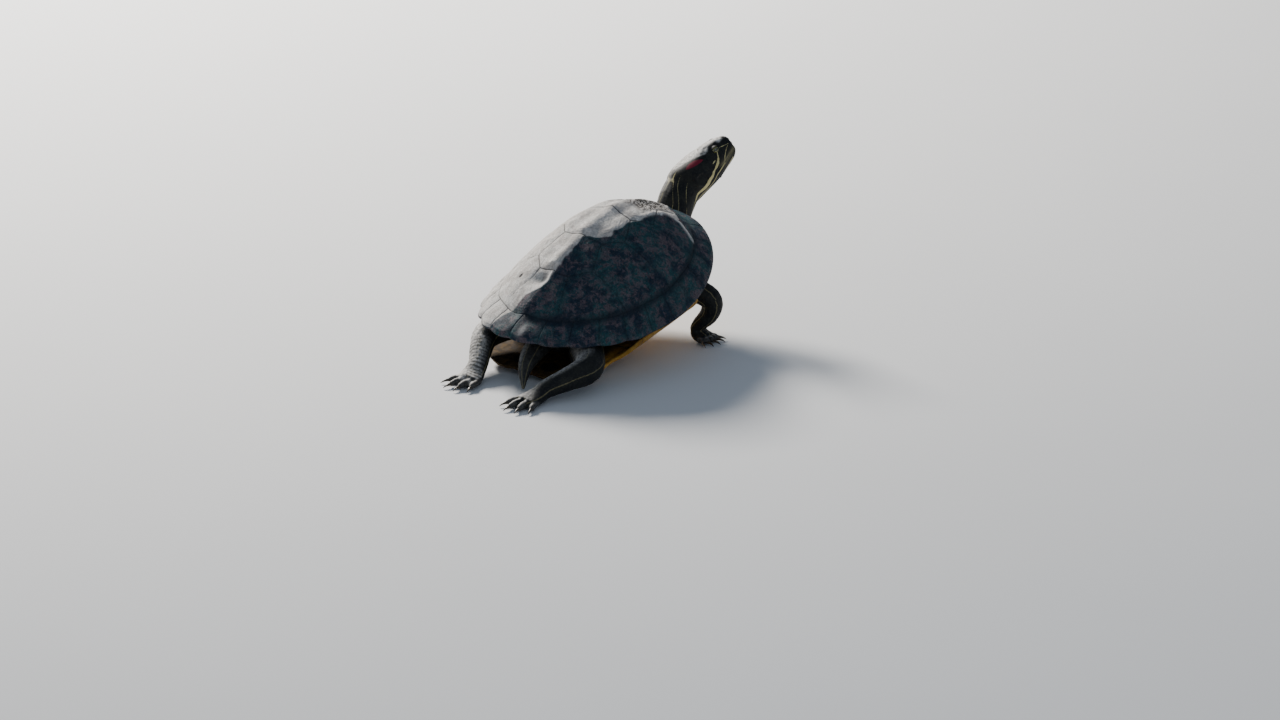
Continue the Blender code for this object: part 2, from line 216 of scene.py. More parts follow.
def run_lengths(points):
    """Length along a line of points, up to each of them."""
    return np.concatenate([[0], np.cumsum(np.linalg.norm(np.diff(points, axis=0), axis=1))])


def along_track(corners, count):
    """Evenly numbered points along the straight pieces between corners."""
    table = np.array(corners, dtype=float)
    steps = np.linspace(0, len(table) - 1, count)
    return np.stack([np.interp(steps, np.arange(len(table)), column) for column in table.T], axis=-1)


def curve_through(values, steps):
    """A smooth curve through evenly numbered rows."""
    values = np.array(values, dtype=float)
    slopes = np.gradient(values, axis=0)
    slopes[[0, -1]] /= 2
    place = np.linspace(0, len(values) - 1, steps)
    i = np.minimum(place.astype(int), len(values) - 2)
    t = (place - i)[:, None]
    return ((2 * t ** 3 - 3 * t ** 2 + 1) * values[i] + (t ** 3 - 2 * t ** 2 + t) * slopes[i]
            + (3 * t ** 2 - 2 * t ** 3) * values[i + 1] + (t ** 3 - t ** 2) * slopes[i + 1])


# ---- meshes ---------------------------------------------------------------------------------

# The bake's map: millimetres across it, and (scale, offset) of a plate's outer and inner face
MAP_SPAN = 223
OUTER_ON_MAP = (0.75, 0.4)
INNER_ON_MAP = (0.3, 0.85)


def linked(name, data):
    """A new object in the scene."""
    item = bpy.data.objects.new(name, data)
    bpy.context.scene.collection.objects.link(item)
    return item


def mesh_object(name, points, faces):
    mesh = bpy.data.meshes.new(name)
    mesh.from_pydata((points * MM).tolist(), [], faces)
    mesh.shade_smooth()
    return linked(name, mesh)


def coordinates(mesh):
    values = np.empty(len(mesh.vertices) * 3)
    mesh.vertices.foreach_get("co", values)
    return values.reshape(-1, 3) / MM


def normals(mesh):
    values = np.empty(len(mesh.vertices) * 3)
    mesh.vertex_normals.foreach_get("vector", values)
    return values.reshape(-1, 3)


def edge_ends(mesh):
    """The two vertices of each edge."""
    ends = np.empty(len(mesh.edges) * 2, dtype=int)
    mesh.edges.foreach_get("vertices", ends)
    return ends.reshape(-1, 2)


def put_coordinates(mesh, points):
    mesh.vertices.foreach_set("co", (points * MM).ravel())
    mesh.update()


def put_attribute(mesh, name, values):
    attribute = mesh.attributes.new(name, "FLOAT", "POINT")
    attribute.data.foreach_set("value", np.asarray(values, dtype=float))


def put_bake_map(mesh, points, inner):
    """The bake's own map of a plate in plan, its inner face small and beside the outer one."""
    plan = points[:, :2] / MAP_SPAN
    (outer_scale, outer_at), (inner_scale, inner_at) = OUTER_ON_MAP, INNER_ON_MAP
    places = np.where(inner[:, None], plan * inner_scale + inner_at, plan * outer_scale + outer_at)
    layer = mesh.uv_layers.new(name="OFBake")
    corners = np.empty(len(mesh.loops), dtype=int)
    mesh.loops.foreach_get("vertex_index", corners)
    layer.data.foreach_set("uv", places[corners].ravel())


def ring_faces(rings, count):
    """Faces between rings of equal count, laid one after another."""
    faces = []
    for start in range(0, (rings - 1) * count, count):
        for k in range(count):
            j = (k + 1) % count
            faces.append((start + k, start + j, start + count + j, start + count + k))
    return faces


def tube_faces(rings, count):
    """Faces of a closed tube: those between its rings, and a cap at each end."""
    last = (rings - 1) * count
    return ring_faces(rings, count) + [tuple(reversed(range(count))), tuple(range(last, last + count))]


def oval_rings(centres, across, up, wide, deep, sides):
    """Rings of points round centres: wide along across and deep along up."""
    angles = (np.arange(sides) * 2 * pi / sides)[None, :, None]
    return (centres[:, None] + across[..., None, :] * wide[:, None, None] * np.cos(angles)
            + up[:, None] * deep[:, None, None] * np.sin(angles))


def nearest(tree_points, points):
    """Distance from each point to the two nearest tree points."""
    tree = KDTree(len(tree_points))
    for i, point in enumerate(tree_points):
        tree.insert(point, i)
    tree.balance()
    pairs = [[distance for _, _, distance in tree.find_n(point, 2)] for point in points]
    return np.array(pairs).reshape(-1, 2).T


# ---- materials ------------------------------------------------------------------------------

# Colours as linear red, green and blue
TEAL_BLACK = (0.002, 0.016, 0.036)
TEAL = (0.008, 0.066, 0.076)
MOTTLE_BROWN = (0.12, 0.085, 0.10)
VEIN_BLACK = (0.002, 0.006, 0.012)
BLOOM_GREY = (0.09, 0.11, 0.12)
BAND_BLACK = (0.002, 0.007, 0.016)
DUST_AND_LIGHT_PALE = (0.68, 0.66, 0.63)
DUST_AND_LIGHT_BROWN = (0.50, 0.47, 0.44)
SEAM_BLACK = (0.012, 0.014, 0.018)
DIRT = (0.03, 0.027, 0.025)
HORN_ORANGE = (0.55, 0.27, 0.04)
HORN_YELLOW = (0.70, 0.41, 0.09)
HORN_RUST = (0.28, 0.10, 0.025)
BLOTCH_BLACK = (0.028, 0.02, 0.014)
SEAM_BROWN = (0.06, 0.028, 0.012)
STAIN_AND_SHADE_BLACK = (0.012, 0.010, 0.009)
SKIN_BLACK = (0.004, 0.005, 0.007)
SKIN_OLIVE = (0.014, 0.015, 0.013)
SKIN_GREY = (0.035, 0.037, 0.033)
SKIN_GROOVE = (0.008, 0.009, 0.008)
STRIPE_YELLOW = (0.50, 0.42, 0.16)
STRIPE_CREAM = (0.66, 0.60, 0.34)
EAR_RED = (0.17, 0.009, 0.027)
BEAK_HORN = (0.20, 0.18, 0.10)
SKIN_DUST_AND_LIGHT = (0.60, 0.58, 0.55)
IRIS_OLIVE = (0.06, 0.065, 0.015)
IRIS_YELLOW = (0.17, 0.16, 0.04)
EYE_BAR = (0.012, 0.010, 0.006)
EYE_RIM = (0.02, 0.018, 0.012)
PUPIL = (0.002, 0.002, 0.002)
CLAW_DARK = (0.022, 0.018, 0.014)
CLAW_PALE = (0.09, 0.07, 0.045)
FLOOR_GREY = (0.66, 0.67, 0.68)
FLOOR_PALE = (0.70, 0.71, 0.72)


class Nodes:
    """A small helper that builds one node material."""

    def __init__(self, name):
        self.material = bpy.data.materials.new(name)
        self.material.use_nodes = True
        self.tree = self.material.node_tree
        self.shader = self.tree.nodes["Principled BSDF"]

    def node(self, kind, values, **settings):
        made = self.tree.nodes.new(kind)
        for key, value in settings.items():
            setattr(made, key, value)
        for key, value in values.items():
            self.feed(made.inputs[key], value)
        return made

    def feed(self, socket, value):
        if isinstance(value, bpy.types.NodeSocket):
            self.tree.links.new(value, socket)
        elif socket.type == "RGBA":
            socket.default_value = (*value, 1)
        else:
            socket.default_value = value

    def attribute(self, name):
        return self.node("ShaderNodeAttribute", {}, attribute_name=name).outputs["Fac"]

    def place(self):
        return self.node("ShaderNodeNewGeometry", {}).outputs["Position"]

    def math(self, operation, a, b=0.0, clamp=False):
        made = self.node("ShaderNodeMath", {0: a, 1: b}, operation=operation, use_clamp=clamp)
        return made.outputs[0]

    def times(self, a, b, clamp=False):
        return self.math("MULTIPLY", a, b, clamp)

    def plus(self, a, b):
        return self.math("ADD", a, b)

    def minus(self, a, b):
        return self.math("SUBTRACT", a, b)

    def ramp(self, value, low, high, start=0.0, end=1.0):
        """A smooth step from start to end as the value goes from low to high."""
        made = self.node("ShaderNodeMapRange", {"Value": value, "From Min": low, "From Max": high,
                                                "To Min": start, "To Max": end},
                         interpolation_type="SMOOTHSTEP")
        return made.outputs["Result"]

    def noise(self, size_mm, detail=4.0, roughness=0.55, distortion=0.0):
        """Noise from 0 to 1 with lumps about size_mm wide."""
        made = self.node("ShaderNodeTexNoise", {"Vector": self.place(), "Scale": 1 / (size_mm * MM),
                                                "Detail": detail, "Roughness": roughness,
                                                "Distortion": distortion})
        return made.outputs["Fac"]

    def cells(self, size_mm):
        """Distance to the edges of cells about size_mm wide."""
        made = self.node("ShaderNodeTexVoronoi", {"Vector": self.place(), "Scale": 1 / (size_mm * MM)},
                         feature="DISTANCE_TO_EDGE")
        return made.outputs["Distance"]

    def mix(self, share, a, b):
        made = self.node("ShaderNodeMix", {"Factor": share}, data_type="RGBA")
        colour_inputs = [socket for socket in made.inputs if socket.type == "RGBA"]
        for socket, value in zip(colour_inputs, (a, b)):
            self.feed(socket, value)
        return [socket for socket in made.outputs if socket.type == "RGBA"][0]

    def relief(self, height, depth_mm, strength, under=None):
        """A bump normal from a height of 0 to 1 times depth_mm."""
        values = {"Height": height, "Distance": depth_mm * MM, "Strength": strength}
        if under:
            values["Normal"] = under
        return self.node("ShaderNodeBump", values).outputs["Normal"]

    def finish(self, colour, roughness, normal=None, **uniform):
        self.feed(self.shader.inputs["Base Color"], colour)
        self.feed(self.shader.inputs["Roughness"], roughness)
        if normal:
            self.feed(self.shader.inputs["Normal"], normal)
        for name, value in uniform.items():
            self.shader.inputs[name.replace("_", " ")].default_value = value
        return self.material


def carapace_material():
    """Horn plates, teal and brown, with pale dust that shows only on the sunlit side as painted light,
    while the shaded side stays dark.
    """
    n = Nodes("carapace_horn")
    seam = n.attribute("seam_mm")
    painted_lit = n.attribute("painted_lit")
    fine = n.noise(1.5, 5, 0.68)
    patch = n.ramp(n.noise(7.5, 7, 0.8, 0.5), 0.47, 0.56)
    veins = n.noise(2.8, 3, 0.6, 1.8)
    vein = n.ramp(n.math("ABSOLUTE", n.minus(veins, 0.5)), 0.01, 0.05, 1, 0)

    horn = n.mix(n.ramp(n.noise(15, 3), 0.4, 0.6), TEAL_BLACK, TEAL)
    mottle = n.times(n.ramp(seam, 1.0, 6, 0.35, 1), patch)
    horn = n.mix(n.times(mottle, 0.85), horn, MOTTLE_BROWN)
    horn = n.mix(n.times(vein, 0.8), horn, VEIN_BLACK)
    horn = n.mix(n.ramp(fine, 0.5, 0.72, 0, 0.3), horn, BLOOM_GREY)
    horn = n.mix(n.times(n.attribute("band"), 0.75), horn, BAND_BLACK)

    worn = n.ramp(n.noise(6, 4, 0.6), 0.2, 0.6, 0.7, 1)
    dust_film_and_light = n.times(n.ramp(fine, 0.28, 0.62, 0.6, 1), worn)
    # Painted light: the dust film shows only on the sunlit side, so the shaded side stays dark
    dust_film_and_light = n.times(dust_film_and_light, n.ramp(painted_lit, 0, 1, 0.03, 1))
    dust_and_light = n.mix(n.ramp(n.noise(11, 4, 0.6, 1.0), 0.35, 0.65), DUST_AND_LIGHT_PALE, DUST_AND_LIGHT_BROWN)
    colour = n.mix(n.times(dust_film_and_light, 0.97), horn, dust_and_light)
    line = n.times(n.ramp(seam, 0.2, 0.7, 1, 0), n.ramp(painted_lit, 0, 1, 0.35, 0.8))
    colour = n.mix(line, colour, SEAM_BLACK)
    specks = n.ramp(n.noise(2.4, 4, 0.7), 0.44, 0.51)
    colour = n.mix(n.times(n.attribute("dirt"), specks, clamp=True), colour, DIRT)

    height = n.plus(n.times(fine, 0.7), n.times(vein, -0.35))
    normal = n.relief(height, 0.26, 0.85)
    normal = n.relief(n.noise(0.45, 3, 0.6), 0.06, 0.6, normal)
    return n.finish(colour, n.ramp(dust_film_and_light, 0, 1, 0.6, 0.8), normal, Specular_IOR_Level=0.05)


def plastron_material():
    """Worn yellow horn with dark blotches, darkened at the rear by dirt stain and painted shade."""
    n = Nodes("plastron_horn")
    seam = n.attribute("seam_mm")
    stain_and_shade = n.attribute("stain_and_shade")
    wear = n.noise(5, 5, 0.6)
    horn = n.mix(n.ramp(wear, 0.3, 0.7), HORN_ORANGE, HORN_YELLOW)
    horn = n.mix(n.ramp(n.noise(8, 3), 0.5, 0.75, 0, 0.6), horn, HORN_RUST)
    ragged = n.times(n.minus(n.noise(3.2, 4, 0.6), 0.5), 9)
    edge = n.plus(n.attribute("blotch"), ragged)
    horn = n.mix(n.ramp(edge, -1.5, 0.8, 1, 0), horn, BLOTCH_BLACK)
    horn = n.mix(n.ramp(seam, 0.15, 0.8, 0.8, 0), horn, SEAM_BROWN)
    # Dirt stain and painted shade darken the rear
    stain_and_shade_share = n.times(stain_and_shade, n.ramp(n.noise(4, 5, 0.65), 0.3, 0.6, 0.88, 1))
    horn = n.mix(n.times(stain_and_shade_share, 0.95), horn, STAIN_AND_SHADE_BLACK)
    normal = n.relief(n.noise(1.2, 4, 0.6), 0.12, 0.6)
    rough = n.plus(n.ramp(wear, 0.3, 0.7, 0.34, 0.5), n.times(stain_and_shade, 0.35))
    return n.finish(horn, rough, normal, Specular_IOR_Level=0.1)


def skin_material():
    """Nearly black olive skin with cream-yellow stripes and a red patch behind each eye."""
    n = Nodes("skin")
    ragged = n.times(n.minus(n.noise(1.1, 3), 0.5), 0.5)
    base = n.mix(n.ramp(n.noise(7, 4, 0.6), 0.35, 0.65), SKIN_BLACK, SKIN_OLIVE)
    base = n.mix(n.ramp(n.noise(1.3, 3), 0.45, 0.7, 0, 0.4), base, SKIN_GREY)
    cream = n.mix(n.noise(2.5, 3), STRIPE_YELLOW, STRIPE_CREAM)
    stripe = n.ramp(n.plus(n.attribute("stripe_mm"), ragged), -0.16, 0.16, 1, 0)
    stripe = n.times(stripe, n.ramp(n.attribute("faint"), 0, 1, 1, 0.12))
    colour = n.mix(stripe, base, cream)
    red = n.ramp(n.plus(n.attribute("red_mm"), ragged), -0.3, 0.3, 1, 0)
    colour = n.mix(red, colour, EAR_RED)
    colour = n.mix(n.times(n.attribute("horny"), 0.7), colour, BEAK_HORN)
    groove = n.ramp(n.attribute("cell_mm"), 0.02, 0.35, 1, 0)
    colour = n.mix(n.times(groove, 0.55), colour, SKIN_GROOVE)
    # Dust, partly painted light: it is painted paler where the skin faces the sun
    dust_film_and_light = n.times(n.attribute("dust_and_light"), n.ramp(n.noise(2.2, 5, 0.65), 0.3, 0.7, 0.25, 1))
    colour = n.mix(n.times(dust_film_and_light, 0.8, clamp=True), colour, SKIN_DUST_AND_LIGHT)
    rough = n.plus(n.times(n.noise(1.5, 4), 0.3), 0.48)
    normal = n.relief(n.noise(0.9, 4, 0.6), 0.1, 0.7)
    normal = n.relief(n.cells(0.8), 0.12, 0.5, normal)
    return n.finish(colour, rough, normal, Specular_IOR_Level=0.2)


def eye_material():
    """Yellow-green iris with the species' dark bar through a round pupil."""
    n = Nodes("eye")
    out = n.attribute("out_mm")
    iris = n.mix(n.ramp(n.noise(0.5, 3), 0.35, 0.65), IRIS_OLIVE, IRIS_YELLOW)
    iris = n.mix(n.ramp(n.attribute("bar_mm"), 0.35, 0.6, 0.95, 0), iris, EYE_BAR)
    iris = n.mix(n.ramp(out, 2.2, 2.6), iris, EYE_RIM)
    iris = n.mix(n.ramp(out, 0.9, 1.02, 1, 0), iris, PUPIL)
    return n.finish(iris, 0.08, Coat_Weight=1.0, Coat_Roughness=0.02)


def claw_material():
    n = Nodes("claw_horn")
    colour = n.mix(n.ramp(n.noise(1.2, 3, 0.6), 0.35, 0.7), CLAW_DARK, CLAW_PALE)
    return n.finish(colour, 0.36, n.relief(n.noise(0.5, 3), 0.05, 0.5))


def floor_material():
    n = Nodes("floor")
    return n.finish(n.mix(n.noise(300, 2), FLOOR_GREY, FLOOR_PALE), 0.8)


# ---- carapace -------------------------------------------------------------------------------

HALF_LENGTH = 106.3
HALF_WIDTH = 76.4
OUTLINE_POWER = 1.98
DOME_HEIGHT = 59.2
SIDE_SLOPE = 0.126
REAR_SLOPE = 5
APEX_FORWARD = 21
FRONT_LIFT = 13.4
REAR_LIFT = 16.5
RIM_THICKNESS = 3.7
KEEL_HEIGHT = 2
KEEL_WIDTH = 6

# The plates along the rim, and how the mesh crowds toward their seams
NUCHAL_HALF_WIDTH = 5
NUCHAL_STEPS = 5
MARGINALS = 12
FIRST_TOOTHED_MARGINAL = 8
TOOTH = 2
TOOTH_LEAN = 1.3
SEAM_CROWDING = 0.12
RIM_SAMPLES = 4001

# Where the marginals begin, as a share of the way out, and how that line sways: (toward the
# front, height of its ripples, ripples round the shell)
MARGIN_START = 0.838
MARGIN_SWAY = (-0.014, 0.005, 11)

# The rim's rounded edge, as shares of the turn round it, then the inner face: (mm in from the
# rim, mm down) under the rim, and (share of the way out, mm down) under the dome
RIM_ROUNDING = 0.9
RIM_UNDERCUT = 1.6
RIM_TURNS = (0.3, 0.55, 0.8, 1.0)
RIM_DEPTH = 0.95 * RIM_THICKNESS
UNDER_RIM = ((5, 4.0), (9, 3.6), (13, 3.0), (16.5, -4))
UNDER_DOME = ((0.7, 9), (0.4, 8), (0.12, 7))
CROWN_THICKNESS = 7

# Where the seams cross the keel, and the corners at the sides of the plates along the keel
KEEL_SEAMS = (88, 57, 24, -10, -47)
SEAM_HALF_WIDTHS = (21, 17, 19, 18, 14)
SEAM_ARCHES = (3.5, 2, 2, -1.5, -1.5)
REAR_CORNER = (-80, 25)
SIDE_CORNERS = ((39, 28), (4, 29), (-33, 26))
SIDE_SEAM_ENDS = (0.99, 1.50, 2.02)
SIDE_SEAM_BOW = 1.5
SEAM_STEP = 0.4
SEAM_WOBBLE = (0.5, 9, 2)
SEAM_ARCH_CROWN = 1.3
MARGINAL_SEAM_POINTS = 60
MARGIN_POINTS = 1800
# How far apart two pieces of noise are taken, so that they don't agree
NOISE_APART = 50
# Steps of the search for a place on the shell's face
HALVINGS = 30

# (length, height) of the knob on each plate along the keel but the first
KNOBS = ((33, 0.5), (33, 1.2), (34, 2.0), (37, 3.2))
KNOB_TOP = 4
KNOB_STEP = (-1.5, 3.5)
KNOB_POWER = 2.2
KNOB_WIDTH = 7.5

# The crease on the right first side plate, (x, y) in the body's frame
CREASE = ((36, -20.5), (50, -20), (60, -20.5), (66, -24), (69, -29), (67, -36), (65, -43))
CREASE_RIDGE = (0.8, 0, 1.8)
# Width of the painted highlight along the crease
CREASE_HIGHLIGHT_WIDTH = 1.6
CREASE_POINTS = 120

# The hollow behind the last knob of the keel, with a painted shadow in it, and the pit in the left fourth
# side plate
HOLLOW = (-56, 6, 6.5, 10)
HOLLOW_DEPTH = 4.4
HOLLOW_SHADOW = (-56, 6, 6, 7)
HOLLOW_SHADOW_STRENGTH = 0.5
PIT = (-53, 28, 1.5, 1.5)
PIT_DEPTH = 0.9
PIT_DIRT = (-53, 28, 1.3, 1.3)
PIT_DIRTINESS = 4

# Ridges and grooves, (height, middle, width), and the spans of x or of the way out they fill
SHOULDERS = (1.5, 18, 7)
SHOULDER_SPAN = (-12, 8, 72, 84)
HOLLOW_LIP = (1.1, -2, 2.0)
HOLLOW_LIP_SPAN = (-67, -62, -51, -46)
SEAM_GROOVE = (-0.4, 0, 0.45)
GUTTER = (-1.5, 0.855, 0.035)
FLARE_HEIGHT = 1.2
FLARE_SPAN = (0.88, 0.97, 0.985, 1.0)
# Plates swell up from their seams, (height, reach), with growth rings
PLATE_SWELL = (0.3, 3.5)
RING_HEIGHT = 0.07
RING_SPACING = 2.3
RING_WOBBLE = (1.4, 8, 2)
RING_START = (0.6, 2)
RING_FADE = (9, 15)
RING_LOSS = 0.7
# Lumps, and streaks that run along the shell: (height, size, layers)
BROAD_LUMPS = (0.35, 22, 2)
STREAKS = (0.16, 3.2, 3)
STREAK_SCALE = np.array([0.45, 1, 1])
INNERMOST_RING = 0.004
# What an attribute of the seams holds inside the shell
INSIDE_SEAM_MM = 5

# Where the painted light ends along the shell: the pale dust film is painted on the sunlit side and the
# shaded side stays dark, (x, y) in the body's frame
LIT_EDGE = ((-108, 27), (-100, 22), (-88, 16), (-83, 11.5), (-72, 8), (-66, 0), (-62, -2.5), (-40, -4),
            (-22, -4), (-13, -3.5), (-6, -14), (0, -19), (10, -19), (28, -23), (36, -21), (60, -21),
            (72, -25), (78, -16), (84, -6), (95, 5), (104, 12))
# How ragged the edge is at the rear and how much more farther forward, and where that grows
RAGGEDNESS = (0.5, 1.1)
RAGGED_FROM = (-60, -45)
RAGGED_LUMPS = (1, 6, 2)
LIT_EDGE_SOFTNESS = (-1.2, 1.2)
# A painted highlight on the flared marginals at the rear, (x, y, half length, half width), and how pale
# it is
LIT_PATCH_ON_FLARE = (-100, -8, 6, 3)
LIT_PATCH_STRENGTH = 0.85
# The dark band where the marginals begin
BAND_WIDTH = 0.03
# Where dirt specks lie on the shell, as spans of x and of y in the body's frame
DIRT_ALONG = (36, 50, 78, 86)
DIRT_ACROSS = (-20, -14, 30, 42)


def rim(angle):
    x = HALF_LENGTH * signed_power(np.cos(angle), 2 / OUTLINE_POWER)
    y = HALF_WIDTH * signed_power(np.sin(angle), 2 / OUTLINE_POWER)
    lift = np.where(x > 0, FRONT_LIFT, REAR_LIFT)
    return np.stack([x, y, lift * (x / HALF_LENGTH) ** 2], axis=-1)


def rim_arc():
    """Angle and length along the left rim, from the front to the rear, and a marginal's length."""
    angle = np.linspace(0, pi, RIM_SAMPLES)
    arc = run_lengths(rim(angle))
    return angle, arc, (arc[-1] - NUCHAL_HALF_WIDTH) / MARGINALS


def side_stations():
    """(angle, tooth) along the left rim, closer together at the seams."""
    angle, arc, plate = rim_arc()
    even = np.arange(RIM_STEPS) / RIM_STEPS
    shares = even - SEAM_CROWDING * np.sin(2 * pi * even)
    targets = [np.linspace(0, NUCHAL_HALF_WIDTH, NUCHAL_STEPS, endpoint=False)]
    teeth = [np.zeros(NUCHAL_STEPS)]
    for number in range(MARGINALS):
        targets.append(NUCHAL_HALF_WIDTH + plate * (number + shares))
        toothed = number + 1 >= FIRST_TOOTHED_MARGINAL
        teeth.append(toothed * TOOTH * np.sin(pi * shares ** TOOTH_LEAN))
    targets = np.concatenate(targets + [arc[-1:]])
    teeth = np.concatenate(teeth + [[0]])
    return np.interp(targets, arc, angle), teeth


def plate_seam_angles():
    """Angles of the seams between the marginal plates of the left side, from the nuchal's."""
    angle, arc, plate = rim_arc()
    return np.interp(NUCHAL_HALF_WIDTH + plate * np.arange(MARGINALS), arc, angle)


def margin_start(angle):
    """How far out the marginal plates begin."""
    forward, height, ripples = MARGIN_SWAY
    return MARGIN_START + forward * np.cos(angle) + height * np.sin(ripples * np.abs(angle))


def dome(angle, u):
    """Height over the rim's plane: a vault that falls away a little at the sides and rear."""
    vault = DOME_HEIGHT * np.maximum(0, 1 - u * u)
    rear = REAR_SLOPE * u * u * (1 - u * u) * np.maximum(0, -np.cos(angle))
    return vault * (1 - SIDE_SLOPE * u * u * np.abs(np.sin(angle))) - rear


def shell(angle, tooth, u):
    edge = rim(angle)
    reach = 1 + tooth / np.linalg.norm(edge[..., :2], axis=-1) * u ** 8
    x = edge[..., 0] * u * reach + APEX_FORWARD * (1 - u)
    y = edge[..., 1] * u * reach
    keel = KEEL_HEIGHT * bump(y, KEEL_WIDTH) * (1 - u ** 6)
    return np.stack([x, y, edge[..., 2] * u ** 3 + dome(angle, u) + keel], axis=-1)


def shell_above(x, y):
    """The point of the shell's face over a place in plan."""
    low, high = np.zeros_like(x), np.ones_like(x)
    for _ in range(HALVINGS):
        u = (low + high) / 2
        ahead = np.abs((x - APEX_FORWARD * (1 - u)) / HALF_LENGTH) ** OUTLINE_POWER
        aside = np.abs(y / HALF_WIDTH) ** OUTLINE_POWER
        outside = ahead + aside > u ** OUTLINE_POWER
        low, high = np.where(outside, u, low), np.where(outside, high, u)
    power = OUTLINE_POWER / 2
    cosine = signed_power((x - APEX_FORWARD * (1 - u)) / (HALF_LENGTH * np.maximum(u, 1e-6)), power)
    sine = signed_power(y / (HALF_WIDTH * np.maximum(u, 1e-6)), power)
    return shell(np.arctan2(sine, cosine), 0 * u, u)


def seam_lines():
    """Every seam of the carapace as points on its face."""
    lines = []

    def in_plan(*corners):
        corners = np.array(corners, dtype=float)
        length = run_lengths(corners)
        steps = np.linspace(0, length[-1], int(length[-1] / SEAM_STEP) + 2)
        x = np.interp(steps, length, corners[:, 0])
        y = np.interp(steps, length, corners[:, 1])
        plan = np.stack([x, y, 0 * x], axis=1)
        x = x + lumps(plan, SEAM_WOBBLE)
        y = y + lumps(plan + NOISE_APART, SEAM_WOBBLE)
        lines.append(shell_above(x, y))

    def outward(angle):
        u = np.linspace(margin_start(angle), 1, MARGINAL_SEAM_POINTS)
        lines.append(shell(angle + 0 * u, 0 * u, u))

    keel_corners = list(zip(KEEL_SEAMS, SEAM_HALF_WIDTHS))
    for (x, half), arch in zip(keel_corners, SEAM_ARCHES):
        crown = (x + arch * SEAM_ARCH_CROWN, 0)
        in_plan((x, -half), (x + arch, -half / 2), crown, (x + arch, half / 2), (x, half))
    edge = keel_corners[:2]
    for corner, keel_corner in zip(SIDE_CORNERS, keel_corners[2:]):
        edge += [corner, keel_corner]
    edge.append(REAR_CORNER)
    for side in SIDES:
        in_plan(*[(x, side * y) for x, y in edge])
        for (x, y), end_angle in zip(SIDE_CORNERS, SIDE_SEAM_ENDS):
            end_x, end_y, _ = shell(end_angle, 0, MARGIN_START)
            middle = ((x + end_x) / 2 + SIDE_SEAM_BOW, side * (y + end_y) / 2)
            in_plan((x, side * y), middle, (end_x, side * end_y))
        for angle in plate_seam_angles():
            outward(side * angle)
    outward(pi)
    around = np.linspace(0, 2 * pi, MARGIN_POINTS)
    lines.append(shell(around, 0 * around, margin_start(around)))
    return np.concatenate(lines)


def keel_knobs(x, y):
    """Each plate along the keel rises backward to a knob and drops at its seam."""
    height = 0
    for rear, (length, rise) in zip(KEEL_SEAMS[1:], KNOBS):
        ahead = x - rear
        slope = np.clip(1 - (ahead - KNOB_TOP) / length, 0, 1) ** KNOB_POWER * eased(ahead, *KNOB_STEP)
        height = height + rise * slope * bump(y, KNOB_WIDTH)
    return height


def from_crease(points):
    """Distance in plan to the crease, in millimetres."""
    return nearest(flat(along_track(CREASE, CREASE_POINTS)), flat(points))[0]


def painted_light_share(points):
    """Painted light: one where the shell is painted pale on its sunlit side, nought where it stays dark
    in shade.
    """
    x, y = points[:, 0], points[:, 1]
    edge_x, edge_y = np.array(LIT_EDGE, dtype=float).T
    ragged = RAGGEDNESS[0] + RAGGEDNESS[1] * eased(x, *RAGGED_FROM)
    past = y - np.interp(x, edge_x, edge_y) + ragged * lumps(points, RAGGED_LUMPS)
    # Painted shadow: the painted light is taken away in the hollow behind the last knob
    painted_lit = eased(past, *LIT_EDGE_SOFTNESS) * (1 - HOLLOW_SHADOW_STRENGTH * spot(x, y, HOLLOW_SHADOW))
    # Painted highlight on a flared rear marginal
    lit_patch = LIT_PATCH_STRENGTH * spot(x, y, LIT_PATCH_ON_FLARE)
    # Painted highlight along the crease joins the painted light and the painted lit patch
    return np.maximum.reduce([painted_lit, lit_patch, bump(from_crease(points), CREASE_HIGHLIGHT_WIDTH)])


def swelled(seam, form):
    """How a plate swells up from its seams, (height, reach)."""
    height, reach = form
    return height * (1 - np.exp(-seam / reach))


def carapace_relief(points, u, angle, seam):
    """Height over the plain dome, in millimetres."""
    x, y = points[:, 0], points[:, 1]
    inside = 1 - u ** 10
    ends = np.abs(np.cos(angle)) ** 1.5
    height = keel_knobs(x, y)
    height -= HOLLOW_DEPTH * spot(x, y, HOLLOW)
    height += ridge(y, HOLLOW_LIP) * within(x, HOLLOW_LIP_SPAN)
    height += ridge(np.abs(y), SHOULDERS) * within(x, SHOULDER_SPAN)
    height += ridge(from_crease(points), CREASE_RIDGE)
    height -= PIT_DEPTH * spot(x, y, PIT)
    height += ridge(seam, SEAM_GROOVE)
    height += swelled(seam, PLATE_SWELL) * inside
    rings = np.sin(2 * pi * seam / RING_SPACING + lumps(points, RING_WOBBLE))
    height += RING_HEIGHT * rings * eased(seam, *RING_START) * (1 - RING_LOSS * eased(seam, *RING_FADE))
    height += (ridge(u, GUTTER) + FLARE_HEIGHT * within(u, FLARE_SPAN)) * ends
    height += (lumps(points, BROAD_LUMPS) + lumps(points * STREAK_SCALE, STREAKS)) * inside
    return height


def upward_normals(grid):
    """The upward normal at each point of a grid of rings."""
    across = np.roll(grid, -1, axis=1) - np.roll(grid, 1, axis=1)
    facing = unit(np.cross(np.gradient(grid, axis=0), across).reshape(-1, 3))
    return facing * np.sign(facing[:, 2:] + 1e-9)


